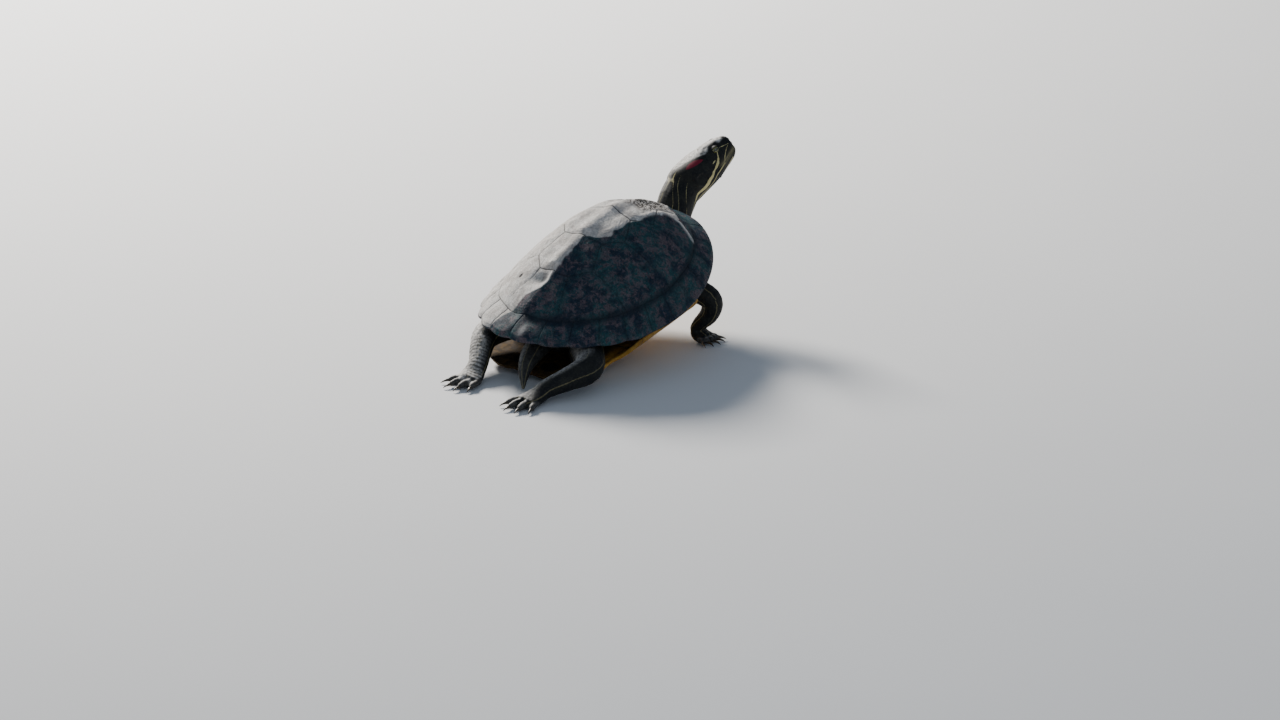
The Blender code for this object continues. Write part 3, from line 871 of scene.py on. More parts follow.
def build_carapace():
    left_angles, left_teeth = side_stations()
    angles = np.concatenate([left_angles, -left_angles[-2:0:-1]])
    teeth = np.concatenate([left_teeth, left_teeth[-2:0:-1]])
    count = len(angles)
    levels = np.linspace(INNERMOST_RING, 1, DOME_STEPS)
    outer = np.concatenate([shell(angles, teeth, np.full(count, u)) for u in levels])
    u = np.repeat(levels, count)
    angle = np.tile(angles, len(levels))
    seam = nearest(seam_lines(), outer)[0]
    relief = carapace_relief(outer, u, angle, seam)
    raised = outer + upward_normals(outer.reshape(-1, count, 3)) * relief[:, None]
    raised -= unit(flat(outer)) * (RIM_ROUNDING * u ** 10)[:, None]

    edge = raised[-count:]
    middle = outer[-count:]
    outward = unit(flat(middle))
    down = np.array([0, 0, -1])
    rings = [raised]
    for turn in RIM_TURNS:
        round_off = RIM_ROUNDING * sin(pi * turn) - RIM_UNDERCUT * turn ** 3
        rings.append(edge + outward * round_off + down * RIM_DEPTH * turn)
    for inward, drop in UNDER_RIM:
        rings.append(middle - outward * inward + down * drop)
    for share, drop in UNDER_DOME:
        rings.append(shell(angles, 0 * teeth, np.full(count, share)) + down * drop)
    total = sum(len(ring) for ring in rings)
    crown = shell(0.0, 0.0, 0.0)
    rings.append([crown - down * keel_knobs(APEX_FORWARD, 0), crown + down * CROWN_THICKNESS])
    points = np.concatenate(rings)
    faces = ring_faces(total // count, count)
    for k in range(count):
        j = (k + 1) % count
        faces.append((total, j, k))
        faces.append((total + 1, total - count + k, total - count + j))
    item = mesh_object("carapace_shell", moved(points, BODY), faces)
    mesh = item.data

    x, y = outer[:, 0], outer[:, 1]
    dirt = within(x, DIRT_ALONG) * within(y, DIRT_ACROSS)
    dirt = np.maximum(dirt, PIT_DIRTINESS * spot(x, y, PIT_DIRT))
    band = bump(u - margin_start(angle), BAND_WIDTH) * (y < 0)
    extra = len(points) - len(outer)
    for name, values, inside in (("seam_mm", seam, INSIDE_SEAM_MM), ("painted_lit", painted_light_share(outer), 0),
                                 ("dirt", dirt, 0), ("band", band, 0)):
        put_attribute(mesh, name, np.append(values, np.full(extra, inside)))
    put_bake_map(mesh, points, np.arange(len(points)) >= len(outer))
    mesh.materials.append(carapace_material())
    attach(item, "root")
    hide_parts("carapace")


# ---- plastron -------------------------------------------------------------------------------

PLASTRON_BOTTOM = -26
PLASTRON_FLAT = 46
PLASTRON_REAR = -96.5
PLASTRON_FRONT = 96.2
# Rise at the front and the rear: (height, where it starts, length)
FRONT_RISE = (6, 55, 41)
REAR_RISE = (3.5, 60, 37)
PLASTRON_ROUNDING = 1.6
PLASTRON_EDGE = (0, 2.4)
PLASTRON_THICKNESS = 3.4
OUTER_INSET = 0.7
INNER_NARROWNESS = 0.985
BRIDGE_REACH = 69.5
BRIDGE_RISE = 18.5
BRIDGE_SPAN = (-46, -36, 34, 44)
ANAL_NOTCH = 5
NOTCH_SPAN = (80, 96)
NOTCH_HALF_WIDTH = 15
PLASTRON_SWELL = (0.5, 2.5)
PLASTRON_GROOVE = (-0.5, 0, 0.5)
PLASTRON_LUMPS = (0.3, 16, 3)
PLASTRON_RING_HEIGHT = 0.05
PLASTRON_RING_SPACING = 2.1
PLASTRON_RING_START = (0.8, 2)

# The front and rear lobe: (half width, where the narrowing starts, its length, its power)
FRONT_LOBE = (45, 50, 47, 2.6)
REAR_LOBE = (49, 58, 41, 3.0)

# The midline's ends, and the waves of the midline and of the other seams: (height, length)
MIDLINE = (-92, 94)
MIDLINE_WAVE = (1.2, 7)
SEAM_WAVE = (0.6, 3)
MIDLINE_POINTS = 400
SEAM_POINTS = 160
# Seams of the plastron in plan: from the midline to the edge, mirrored
PLASTRON_SEAMS = (((77, 0), (84, 12), (90, 26)), ((55, 0), (52, 20), (50, 48)),
                  ((21, 0), (19, 25), (24, 48), (33, 72)), ((-26, 0), (-29, 25), (-27, 45), (-34, 72)),
                  ((-62, 0), (-70, 22), (-82, 48)),
                  ((44, 40), (33, 50), (10, 52), (-20, 51), (-34, 50), (-46, 42)))
# Dark blotches, one pair to a plate: (x, y, half length, half width)
BLOTCHES = ((84, 9, 4, 6), (66, 22, 7, 11), (38, 24, 9, 13), (-3, 25, 13, 14), (-46, 24, 10, 13),
            (-79, 13, 8, 8), (24, 61, 6, 4.5), (0, 61, 7, 5), (-22, 60, 7, 4.5))
FAR_FROM_BLOTCH = 9.0
# Where the dirt stain and painted shade grow toward the rear and end on the right, and where the
# darkening grows toward the bridges' edges
REAR_STAIN_AND_SHADE = (5, 38)
REAR_STAIN_AND_SHADE_END = (36, 44)
BRIDGE_DARKENING = (50, 68)
BRIDGE_DARKENING_SHARE = 0.4


def lobe_half_width(outward, lobe):
    width, start, length, power = lobe
    return width * np.sqrt(np.maximum(0, 1 - np.maximum(0, (outward - start) / length) ** power))


def plastron_half_width(x):
    """Front lobe, bridge between the leg notches, rear lobe."""
    lobe = np.where(x > 0, lobe_half_width(x, FRONT_LOBE), lobe_half_width(-x, REAR_LOBE))
    return lobe + (BRIDGE_REACH - lobe) * within(x, BRIDGE_SPAN)


def end_rise(outward, rise):
    height, start, length = rise
    return height * np.maximum(0, (outward - start) / length) ** 2


def plastron_bottom(x, y):
    side = np.maximum(0, (np.abs(y) - PLASTRON_FLAT) / (BRIDGE_REACH - PLASTRON_FLAT))
    return PLASTRON_BOTTOM + end_rise(x, FRONT_RISE) + end_rise(-x, REAR_RISE) + BRIDGE_RISE * side ** 1.3


def waved(value, wave):
    height, length = wave
    return height * np.sin(value / length)


def plastron_seams():
    """Every seam of the plastron as points in plan."""
    midline = np.linspace(*MIDLINE, MIDLINE_POINTS)
    lines = [np.stack([midline, waved(midline, MIDLINE_WAVE)], axis=1)]
    for side in SIDES:
        for corners in PLASTRON_SEAMS:
            x, y = along_track(corners, SEAM_POINTS).T
            lines.append(np.stack([x + waved(y, SEAM_WAVE), side * y], axis=1))
    return flat(np.concatenate(lines))


def build_plastron():
    columns = np.linspace(PLASTRON_REAR, PLASTRON_FRONT, PLASTRON_COLUMNS)
    shares = np.sin(np.linspace(-pi / 2, pi / 2, PLASTRON_ROWS))
    x = np.repeat(columns[:, None], PLASTRON_ROWS, axis=1)
    width = plastron_half_width(x)
    y = width * shares
    low = plastron_bottom(x, y)
    plan = np.stack([x, y, 0 * x], axis=-1).reshape(-1, 3)
    seam = nearest(plastron_seams(), plan)[0].reshape(x.shape)
    height = swelled(seam, PLASTRON_SWELL) + ridge(seam, PLASTRON_GROOVE)
    height += lumps(plan, PLASTRON_LUMPS).reshape(x.shape)
    rings = np.sin(2 * pi * seam / PLASTRON_RING_SPACING)
    height += PLASTRON_RING_HEIGHT * rings * eased(seam, *PLASTRON_RING_START)
    from_edge = np.minimum(width - np.abs(y), -PLASTRON_REAR - np.abs(x))
    height -= PLASTRON_ROUNDING * (1 - eased(from_edge, *PLASTRON_EDGE))
    notch = eased(-x, *NOTCH_SPAN) * np.maximum(0, 1 - np.abs(y) / NOTCH_HALF_WIDTH)
    notched = x + ANAL_NOTCH * notch

    # The inner face has every fourth row of the outer one, laid the other way
    below = np.stack([notched, y, low + OUTER_INSET - height], axis=-1)
    above = np.stack([notched, y * INNER_NARROWNESS, low + PLASTRON_THICKNESS], axis=-1)[:, ::-4]
    count = PLASTRON_ROWS + above.shape[1]
    points = np.concatenate([below, above], axis=1).reshape(-1, 3)
    placed = moved(points, BODY)
    placed[:, 2] = np.maximum(placed[:, 2], FLOOR_GAP)
    item = mesh_object("plastron_shell", placed, tube_faces(PLASTRON_COLUMNS, count))
    mesh = item.data

    blotch = np.full(x.shape, FAR_FROM_BLOTCH)
    for place in BLOTCHES:
        blotch = np.minimum(blotch, (oval(x, np.abs(y), place) - 1) * min(place[2:]))
    # Painted shade with dirt stain at the rear, where the plastron lies in shade
    rear_stain_and_shade = eased(-x, *REAR_STAIN_AND_SHADE) * (1 - eased(-y, *REAR_STAIN_AND_SHADE_END))
    stain_and_shade = np.maximum(rear_stain_and_shade, BRIDGE_DARKENING_SHARE * eased(np.abs(y), *BRIDGE_DARKENING))
    for name, values in (("seam_mm", seam), ("blotch", blotch), ("stain_and_shade", stain_and_shade)):
        put_attribute(mesh, name, np.concatenate([values, values[:, ::-4]], axis=1).ravel())
    put_bake_map(mesh, points, np.tile(np.arange(count) >= PLASTRON_ROWS, PLASTRON_COLUMNS))
    mesh.materials.append(plastron_material())
    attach(item, "root")
    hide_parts("plastron")


# ---- routes of the limbs, neck and tail -----------------------------------------------------

# (x, y, z, half width, half depth) at each station; the legs and tail over the floor
NECK = ((62, 3, -5, 14.5, 12.5), (79, 8, -8, 14.5, 12.3), (95, 14, -7.5, 14, 12.4),
        (110.5, 16.6, 1.5, 14.3, 13.4), (123, 17.5, 14.2, 14.5, 14.3),
        (134.4, 17.6, 22.9, 14.2, 14.2))
TAIL = ((-66, -3, 26, 11, 9), (-82, -6, 20.5, 9, 7.5), (-94, -10, 16, 6.5, 5.6),
        (-103, -15, 11.5, 4.2, 4), (-110, -20, 8, 2.4, 2.3), (-115, -24, 5.6, 1.1, 1.1))
FORE_RIGHT = ((44, -22, 48, 10.5, 10), (56, -42, 44, 9.8, 9.6), (66, -59, 35, 8.6, 8.8),
              (67, -58, 23, 7.4, 7.6), (64, -49.5, 11.5, 7.0, 5.4), (64, -51, 5.4, 8.6, 4.6),
              (64, -57, 3.4, 9.4, 3.8))
FORE_LEFT = ((44, 24, 53, 10.5, 10), (57, 43, 50, 9.8, 9.6), (69, 60, 41, 8.6, 8.8),
             (74, 60, 27, 7.4, 7.6), (74, 54.5, 12.5, 7.0, 5.4), (77, 56.5, 6, 8.6, 4.8),
             (84, 61, 3.4, 9.6, 3.8))
HIND_RIGHT = ((-42, -22, 28, 13, 12), (-61, -42, 22, 13.4, 12.4), (-79, -57, 19, 11.4, 11.4),
              (-97, -53, 15, 9.2, 8.8), (-112, -45, 10, 8.0, 7.0), (-123, -42, 5.5, 9.6, 5.2),
              (-133, -40, 3.6, 11.8, 3.9))
HIND_LEFT = ((-42, 22, 33, 12.6, 12), (-60, 37, 28, 12.6, 12), (-78, 42, 23, 10.6, 10.6),
             (-92, 36, 17, 8.8, 8.4), (-104, 29, 10.5, 7.8, 7.0), (-114, 26, 5.5, 9.4, 5.2),
             (-123, 24, 3.6, 11.4, 3.9))

# Toes of each foot: (root x, root y, root z, heading in degrees, length, root radius)
TOES = {
    "foreleg_right": ((70.5, -56.4, 3.0, -58, 4.8, 2.3), (67.6, -58, 3.1, -74, 5.6, 2.5),
                      (64, -58.5, 3.1, -90, 5.8, 2.5), (60.4, -58, 3.1, -106, 5.6, 2.5),
                      (57.5, -56.4, 3.0, -122, 4.8, 2.3)),
    "foreleg_left": ((88.6, 56.6, 3.0, 3, 5.2, 2.3), (87.4, 59.6, 3.1, 19, 6.2, 2.5),
                     (85, 62.2, 3.1, 35, 6.6, 2.5), (82.2, 64.4, 3.1, 51, 6.2, 2.5),
                     (79.2, 65.6, 3.0, 67, 5.2, 2.3)),
    "hindleg_right": ((-132.5, -49, 3.0, -158, 8.5, 2.7), (-135.5, -43, 3.2, -171, 10.5, 2.9),
                      (-135.5, -36.5, 3.2, 176, 10.5, 2.9), (-132, -31, 3.0, 163, 8.5, 2.7)),
    "hindleg_left": ((-121.4, 33.2, 3.0, 152, 8.5, 2.7), (-125.4, 27.6, 3.2, 166, 10.5, 2.9),
                     (-126.4, 21.2, 3.2, -180, 10.5, 2.9), (-124, 15.2, 3.0, -166, 8.5, 2.7)),
}

# Spacing of the scales along and round each limb
NECK_SCALES = (1.7, 1.9)
TAIL_SCALES = (2.4, 3.4)
FORELEG_SCALES = (3.0, 5.4)
HINDLEG_SCALES = (3.0, 5.0)
TOE_SCALES = (1.7, 3.2)
SCALE_JITTER_ROUND = 0.18
SCALE_JITTER_ALONG = 0.2
SCALES_PAST_END = 6
LEAST_SCALES_ROUND = 5

TUBE_STEPS = 5
TUBE_SIDES = 24
TOE_TIP_HEIGHT = 2.5
TOE_ARCH = 0.8
TOE_ROOT_DEPTH = 6
TOE_TAPER = ((1, 1), (0.95, 0.9), (0.66, 0.66))


class Tube:
    """A limb as an oval tube along a smooth route, with places on it as (along, angle, out)."""

    def __init__(self, stations, wide, matrix, scale):
        rows = curve_through(stations, (len(stations) - 1) * TUBE_STEPS + 1)
        self.centres = moved(rows[:, :3], matrix)
        self.radii = rows[:, 3:5]
        self.scale = scale
        wide = turned(np.array(wide, dtype=float), matrix)
        self.along = unit(np.gradient(self.centres, axis=0))
        self.across = unit(wide - self.along * (self.along @ wide)[:, None])
        self.up = np.cross(self.along, self.across)
        self.lengths = run_lengths(self.centres)

    def form(self):
        """The tube's points and faces."""
        rings = oval_rings(self.centres, self.across, self.up, *self.radii.T, TUBE_SIDES)
        return rings.reshape(-1, 3), tube_faces(len(rings), TUBE_SIDES)

    def locate(self, points):
        """(along, angle, out, out as a share of the tube's radius) of each point."""
        best = np.full(len(points), np.inf)
        place = np.zeros((len(points), 4))
        for i in range(len(self.centres) - 1):
            step = self.centres[i + 1] - self.centres[i]
            offset = points - self.centres[i]
            share = np.clip(offset @ step / (step @ step), 0, 1)[:, None]
            offset = offset - share * step
            across, up, radii = (rows[i] + share * (rows[i + 1] - rows[i])
                                 for rows in (self.across, self.up, self.radii))
            side = np.sum(offset * unit(across), axis=1)
            rise = np.sum(offset * unit(up), axis=1)
            out = np.linalg.norm(offset, axis=1)
            ratio = out / radii.mean(axis=1)
            length = self.lengths[i] + share[:, 0] * (self.lengths[i + 1] - self.lengths[i])
            found = np.stack([length, np.arctan2(rise, side), out, ratio], axis=1)
            closer = ratio < best
            best[closer] = ratio[closer]
            place[closer] = found[closer]
        return place

    def straightened(self, place):
        """Places as points along a straight tube, on which a scale is as long as it is wide."""
        stretch = self.scale[1] / self.scale[0]
        return np.stack([place[:, 0] * stretch, place[:, 2] * np.cos(place[:, 1]),
                         place[:, 2] * np.sin(place[:, 1])], axis=1)

    def scale_centres(self):
        """Staggered rows of scales round the tube."""
        rng = np.random.default_rng(len(self.centres) + int(self.lengths[-1]))
        rows = []
        for number, length in enumerate(np.arange(0, self.lengths[-1] + SCALES_PAST_END, self.scale[0])):
            radius = np.interp(length, self.lengths, self.radii.mean(axis=1))
            count = max(LEAST_SCALES_ROUND, round(2 * pi * radius / self.scale[1]))
            angles = (np.arange(count) + 0.5 * (number % 2)) * 2 * pi / count
            around = rng.uniform(-SCALE_JITTER_ROUND, SCALE_JITTER_ROUND, count) * self.scale[1]
            angles = angles + around / radius
            lengths = length + rng.uniform(-SCALE_JITTER_ALONG, SCALE_JITTER_ALONG, count) * self.scale[0]
            rows.append(np.stack([lengths, angles, np.full(count, radius)], axis=1))
        return self.straightened(np.concatenate(rows))


def level_direction(heading):
    """A level unit vector, its heading in degrees round from the x axis."""
    return np.array([cos(radians(heading)), sin(radians(heading)), 0])


def toe_tube(toe):
    x, y, z, heading, length, radius = toe
    ahead = level_direction(heading)
    root = np.array([x, y, z])
    tip = np.array([*(root + ahead * length)[:2], TOE_TIP_HEIGHT])
    middle = (root + tip) / 2 + np.array([0, 0, TOE_ARCH])
    centres = (root - ahead * TOE_ROOT_DEPTH, middle, tip)
    stations = [(*centre, radius * wide, radius * deep)
                for centre, (wide, deep) in zip(centres, TOE_TAPER)]
    return Tube(stations, np.cross([0, 0, 1], ahead), FLOOR_FRAME, TOE_SCALES)


# ---- skin: source forms ---------------------------------------------------------------------

# Cross-sections of the head: (x, half width, top, bottom) in the head's frame
HEAD_SECTIONS = ((-9, 11.5, 12.4, -16.6), (-5, 12.8, 13.8, -17.2), (0, 13.8, 14.8, -16.9),
                 (5, 15.1, 14.5, -16.0), (11, 16.1, 14.2, -15.3), (18, 15.8, 13.7, -14.8),
                 (24, 14.4, 13.2, -14.1), (29, 12.9, 12.9, -13.2), (34, 11.1, 12.3, -12.2),
                 (38, 9.5, 11.3, -11.0), (41.5, 7.9, 10.1, -9.7), (44.3, 6.2, 8.4, -7.8),
                 (46, 4.1, 6.0, -5.6))
HEAD_RINGS = 60
HEAD_SIDES = 48
HEAD_SQUARENESS = 0.85
BROW_START = 16
BROW_LENGTH = 14

# Webs between the toes: how far out they reach, as a share of a toe, and half their thickness
HIND_WEB_REACH = 0.8
FORE_WEB_REACH = 0.35
WEB_HEIGHT = 2.3
WEB_HALF_THICKNESS = 0.9
WEB_HOLLOW = 0.72
WEB_ROOT_DEPTH = 4

# The two pushes of each round of smoothing: the second undoes the first one's shrinking
SMOOTHING_PUSHES = (0.55, -0.5)
# The crease behind the head is smoothed once more: how strongly, where along the head's x axis,
# and how far from the head's base that fades
NAPE_PUSH = 0.5
NAPE = -1
NAPE_REACH = 7
NAPE_BALL = (20, 28)
LEAST_WEIGHT = 0.01
# The box round the head in which the mesh is finer, and the reach of the finest part at each eye
HEAD_BOX = ((-8, -20, -20), (60, 20, 20))
EYE_BOX = 6.5
EYE_BOX_OUT = 2.5


def head_form():
    sections = curve_through(HEAD_SECTIONS, HEAD_RINGS)
    length, half_width, top, bottom = sections.T[:, :, None]
    angles = np.arange(HEAD_SIDES) * 2 * pi / HEAD_SIDES
    forward = np.clip((length - BROW_START) / BROW_LENGTH, 0, 1)
    narrow = 1 - BROW_TAPER * forward * np.maximum(0, np.sin(angles))
    x = length + 0 * angles
    y = half_width * signed_power(np.cos(angles), HEAD_SQUARENESS) * narrow
    z = (top + bottom) / 2 + (top - bottom) / 2 * signed_power(np.sin(angles), HEAD_SQUARENESS)
    points = moved(np.stack([x, y, z], axis=-1).reshape(-1, 3), HEAD)
    return points, tube_faces(HEAD_RINGS, HEAD_SIDES)


def web_form(near, far, reach):
    """The web between two neighbouring toes, from their roots to a share of their length."""
    roots, tips = [], []
    for x, y, _, heading, length, _ in (near, far):
        ahead = level_direction(heading)
        root = np.array([x, y, WEB_HEIGHT])
        roots.append(root - ahead * WEB_ROOT_DEPTH)
        tips.append(root + ahead * length * reach)
    hollow = sum(tips) / 2 * WEB_HOLLOW + sum(roots) / 2 * (1 - WEB_HOLLOW)
    outline = np.array([roots[0], tips[0], hollow, tips[1], roots[1]])
    lift = np.array([0, 0, WEB_HALF_THICKNESS])
    points = np.concatenate([outline - lift, outline + lift])
    return moved(points, FLOOR_FRAME), tube_faces(2, len(outline))


def trunk_form():
    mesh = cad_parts["trunk"].data
    return coordinates(mesh), [tuple(face.vertices) for face in mesh.polygons]


def joined(forms):
    points, faces, offset = [], [], 0
    for form_points, form_faces in forms:
        points.append(form_points)
        faces += [tuple(index + offset for index in face) for face in form_faces]
        offset += len(form_points)
    return np.concatenate(points), faces


def fused(points, faces):
    """One closed mesh round all the forms."""
    rough = mesh_object("forms", points, faces)
    remesh = rough.modifiers.new("fuse", "REMESH")
    remesh.mode = "VOXEL"
    remesh.voxel_size = VOXEL * MM
    graph = bpy.context.evaluated_depsgraph_get()
    mesh = bpy.data.meshes.new_from_object(rough.evaluated_get(graph))
    bpy.data.objects.remove(rough)
    return mesh


def toward_neighbours(points, pairs):
    """From each point to the mean of those at the other ends of its edges."""
    a, b = pairs.T
    count = len(points)
    degree = np.maximum(np.bincount(a, minlength=count) + np.bincount(b, minlength=count), 1)
    sums = [np.bincount(a, points[b, k], count) + np.bincount(b, points[a, k], count) for k in range(3)]
    return np.stack(sums, axis=1) / degree[:, None] - points


def smoothed(mesh, rounds):
    """Evens out the steps of the fusing without shrinking the toes."""
    points = coordinates(mesh)
    pairs = edge_ends(mesh)
    for push in SMOOTHING_PUSHES * rounds:
        points = points + push * toward_neighbours(points, pairs)
    put_coordinates(mesh, points)


def softened_nape(mesh):
    """Evens the surface out where the head meets the neck."""
    points = coordinates(mesh)
    local = moved(points, HEAD.inverted())
    from_base = np.linalg.norm(local, axis=1)
    weight = bump(local[:, 0] - NAPE, NAPE_REACH) * (1 - eased(from_base, *NAPE_BALL))
    weight[weight < LEAST_WEIGHT] = 0
    pairs = edge_ends(mesh)
    pairs = pairs[(weight[pairs] > 0).any(axis=1)]
    for _ in range(NAPE_ROUNDS):
        points = points + (NAPE_PUSH * weight)[:, None] * toward_neighbours(points, pairs)
    put_coordinates(mesh, points)


def refined(mesh, low, high):
    """Halves the edges inside a box of the head's frame."""
    local = moved(coordinates(mesh), HEAD.inverted())
    inside = np.all((local > low) & (local < high), axis=1)
    bm = bmesh.new()
    bm.from_mesh(mesh)
    edges = [edge for edge in bm.edges if all(inside[end.index] for end in edge.verts)]
    bmesh.ops.subdivide_edges(bm, edges=edges, cuts=1, use_grid_fill=True)
    bm.to_mesh(mesh)
    bm.free()


# ---- skin: markings -------------------------------------------------------------------------

# Stripes of head and neck: (mm behind the snout, degrees up from the chin, half width in mm)
HEAD_STRIPES = (
    ((11, 124, 0.4), (13.5, 100, 0.9), (16, 89, 1.15), (19.5, 84, 1.0), (21.3, 82, 0.45), (23.2, 79, 1.0),
     (26, 73, 1.1), (29, 72, 1.4), (32, 67, 1.6), (36, 62, 1.5), (42, 60, 1.0), (56, 62, 0.7),
     (140, 61, 0.8)),
    ((2, 112, 0.1), (5.5, 99, 0.2), (10, 82, 0.3), (12.8, 66, 0.5), (18, 64, 0.4), (24, 61, 0.35),
     (30, 54, 0.25), (46, 42, 0.4), (140, 40, 0.5)),
    ((12, 0, 0.4), (20, 0, 0.9), (40, 0, 1.1), (140, 0, 1.0)),
    ((6, 38, 0.4), (14, 34, 0.6), (26, 25, 0.7), (46, 20, 0.8), (140, 20, 0.8)),
    ((1, 120, 0.1), (6, 128, 0.25), (8, 131, 0.05)),
    ((16.5, 102, 0.1), (18, 101, 0.55), (19.5, 100, 0.1)),
    ((44, 141, 0.0), (52, 138, 0.3), (60, 131, 0.45), (140, 128, 0.5)),
    ((44, 110, 0.0), (52, 104, 0.3), (70, 96, 0.4), (140, 94, 0.5)),
    ((44, 162, 0.0), (52, 158, 0.3), (70, 152, 0.4), (140, 150, 0.5)),
)
RED_PATCH = ((23, 131, 0.1), (25, 134, 1.4), (29, 138, 2.4), (33, 141, 2.3), (36, 142, 1.4),
             (38, 142, 0.1))
# Where the dust on the crown, paler on the sunlit side as painted light, ends on the right: (mm behind
# the snout, degrees up from the chin)
DUST_AND_LIGHT_EDGE = ((2, 160), (6, 150), (12, 149), (19, 143), (31, 159), (40, 168), (48, 178), (60, 184))
DUST_AND_LIGHT_SOFTNESS = (-4, 4)
# Its edge on the left in degrees, where it ends behind and begins in front in mm, and its strength
DUST_AND_LIGHT_EDGE_LEFT = (140, 162)
DUST_AND_LIGHT_END_LEFT = (42, 54)
DUST_AND_LIGHT_START = (1.5, 4)
CROWN_DUST_AND_LIGHT = 1.3


def crown_dust_and_light(behind, angle, side):
    """Dried dust along the crown, partly painted light: it reaches farther down on the left, the sunlit
    side, where side is above nought.
    """
    edge_behind, edge_angle = np.array(DUST_AND_LIGHT_EDGE, dtype=float).T
    right = eased(angle - np.interp(behind, edge_behind, edge_angle), *DUST_AND_LIGHT_SOFTNESS)
    left = eased(angle, *DUST_AND_LIGHT_EDGE_LEFT) * (1 - eased(behind, *DUST_AND_LIGHT_END_LEFT))
    return CROWN_DUST_AND_LIGHT * np.where(side < 0, right, left) * eased(behind, *DUST_AND_LIGHT_START)


def distance_to_stripe(stripe, behind, angle, out):
    """Distance to a mirrored pair of stripes' edges, negative inside them, in millimetres."""
    table = np.array(stripe, dtype=float)
    middle = np.interp(behind, table[:, 0], table[:, 1])
    half = np.interp(behind, table[:, 0], table[:, 2])
    aside = np.radians(np.abs(np.abs(np.degrees(angle)) - middle)) * out
    past = np.maximum(table[0, 0] - behind, 0) + np.maximum(behind - table[-1, 0], 0)
    return np.hypot(aside, past) - half


# How the stripes of a limb wander, and their least width and its variety as shares of the width
STRIPE_WANDER = (0.10, 14, 1)
STRIPE_WIDTHS = (0.75, 0.45)


def stripes_round(place, count, width, turn, seed):
    """Distance to evenly spaced stripes along a limb."""
    along, angle, out, _ = place.T
    wander = lumps(np.stack([along + seed, 0 * along, 0 * along], axis=1), STRIPE_WANDER)
    phase = (angle + turn + wander) * count / (2 * pi)
    number = np.round(phase)
    aside = np.abs(phase - number) * 2 * pi / count * out
    variety = hashed(np.stack([number, 0 * number + seed, 0 * number], axis=1))
    return aside - width * (STRIPE_WIDTHS[0] + STRIPE_WIDTHS[1] * variety)


# ---- skin: relief ---------------------------------------------------------------------------

# Ridges and grooves of the head, (height, middle, width) in millimetres
MOUTH_GROOVE = (-0.6, 0, 0.38)
MOUTH_SPAN = (21, 24.5)
UPPER_LIP = (0.35, 1.4, 1.1)
LIP_SPAN = (27, 36)
UNDER_BEAK = (-0.5, -1.2, 0.9)
BEAK_SPAN = (38, 44)
NOSTRIL_PIT = (-1.1, 0, 0.55)
NOSTRIL_RIM = (0.2, 1.0, 0.4)
EARDRUM_RIM = (0.25, 5.3, 0.8)
EARDRUM_DEPTH = 0.55
EARDRUM_EDGE = (3.4, 5.0)
EARDRUM_LEAST_Y = 5
BROW = (0.35, 10.5, 1.6)
BROW_SPAN = (26, 31, 37, 42)
NOSE_SWELL = (0.65, 0, 3.2)
LID_EDGE = (0.2, 1.13, 0.1)
LID_FOLD = (-0.22, 1.6, 0.14)
LID_OPENING = (0.93, 1.05)

# How smoothly the lids rise from the skin, how deep they start and how deep the skin is sunk
# behind the eyeball's face
LID_BLEND = 0.12
LID_ROOT = -1.5
SOCKET_GAP = 0.9


def on_side(place, side):
    """A place or direction of the head's left side, or its mirror image where side is -1."""
    x, y, z = place
    return np.array([x, side * y, z])


def mouth_height(x):
    (corner_x, corner_z), (tip_x, tip_z) = MOUTH_CORNER, BEAK_TIP
    return corner_z + (x - corner_x) / (tip_x - corner_x) * (tip_z - corner_z)


def head_relief(local):
    """Mouth, beak, nostrils, eardrums and brows, in the head's frame."""
    x, y, z = local.T
    over_mouth = z - mouth_height(x)
    height = ridge(over_mouth, MOUTH_GROOVE) * eased(x, *MOUTH_SPAN)
    height += ridge(over_mouth, UPPER_LIP) * eased(x, *LIP_SPAN)
    height += ridge(over_mouth, UNDER_BEAK) * eased(x, *BEAK_SPAN)
    for side in SIDES:
        from_nostril = np.linalg.norm(local - on_side(NOSTRIL, side), axis=1)
        height += ridge(from_nostril, NOSTRIL_PIT) + ridge(from_nostril, NOSTRIL_RIM)
        from_ear = np.hypot(x - EAR[0], z - EAR[1])
        sunk = EARDRUM_DEPTH * (1 - eased(from_ear, *EARDRUM_EDGE))
        height += (ridge(from_ear, EARDRUM_RIM) - sunk) * (y * side > EARDRUM_LEAST_Y)
    height += ridge(z, BROW) * within(x, BROW_SPAN)
    height += ridge(np.linalg.norm(local - np.array(NOSE), axis=1), NOSE_SWELL)
    return height


def eye_axes(side):
    """The way an eye looks, and the ways ahead and up across its face."""
    out = on_side(EYE_LOOK, side)
    ahead = unit(EYE_AHEAD - out * (EYE_AHEAD @ out))
    return out, ahead, side * np.cross(ahead, out)


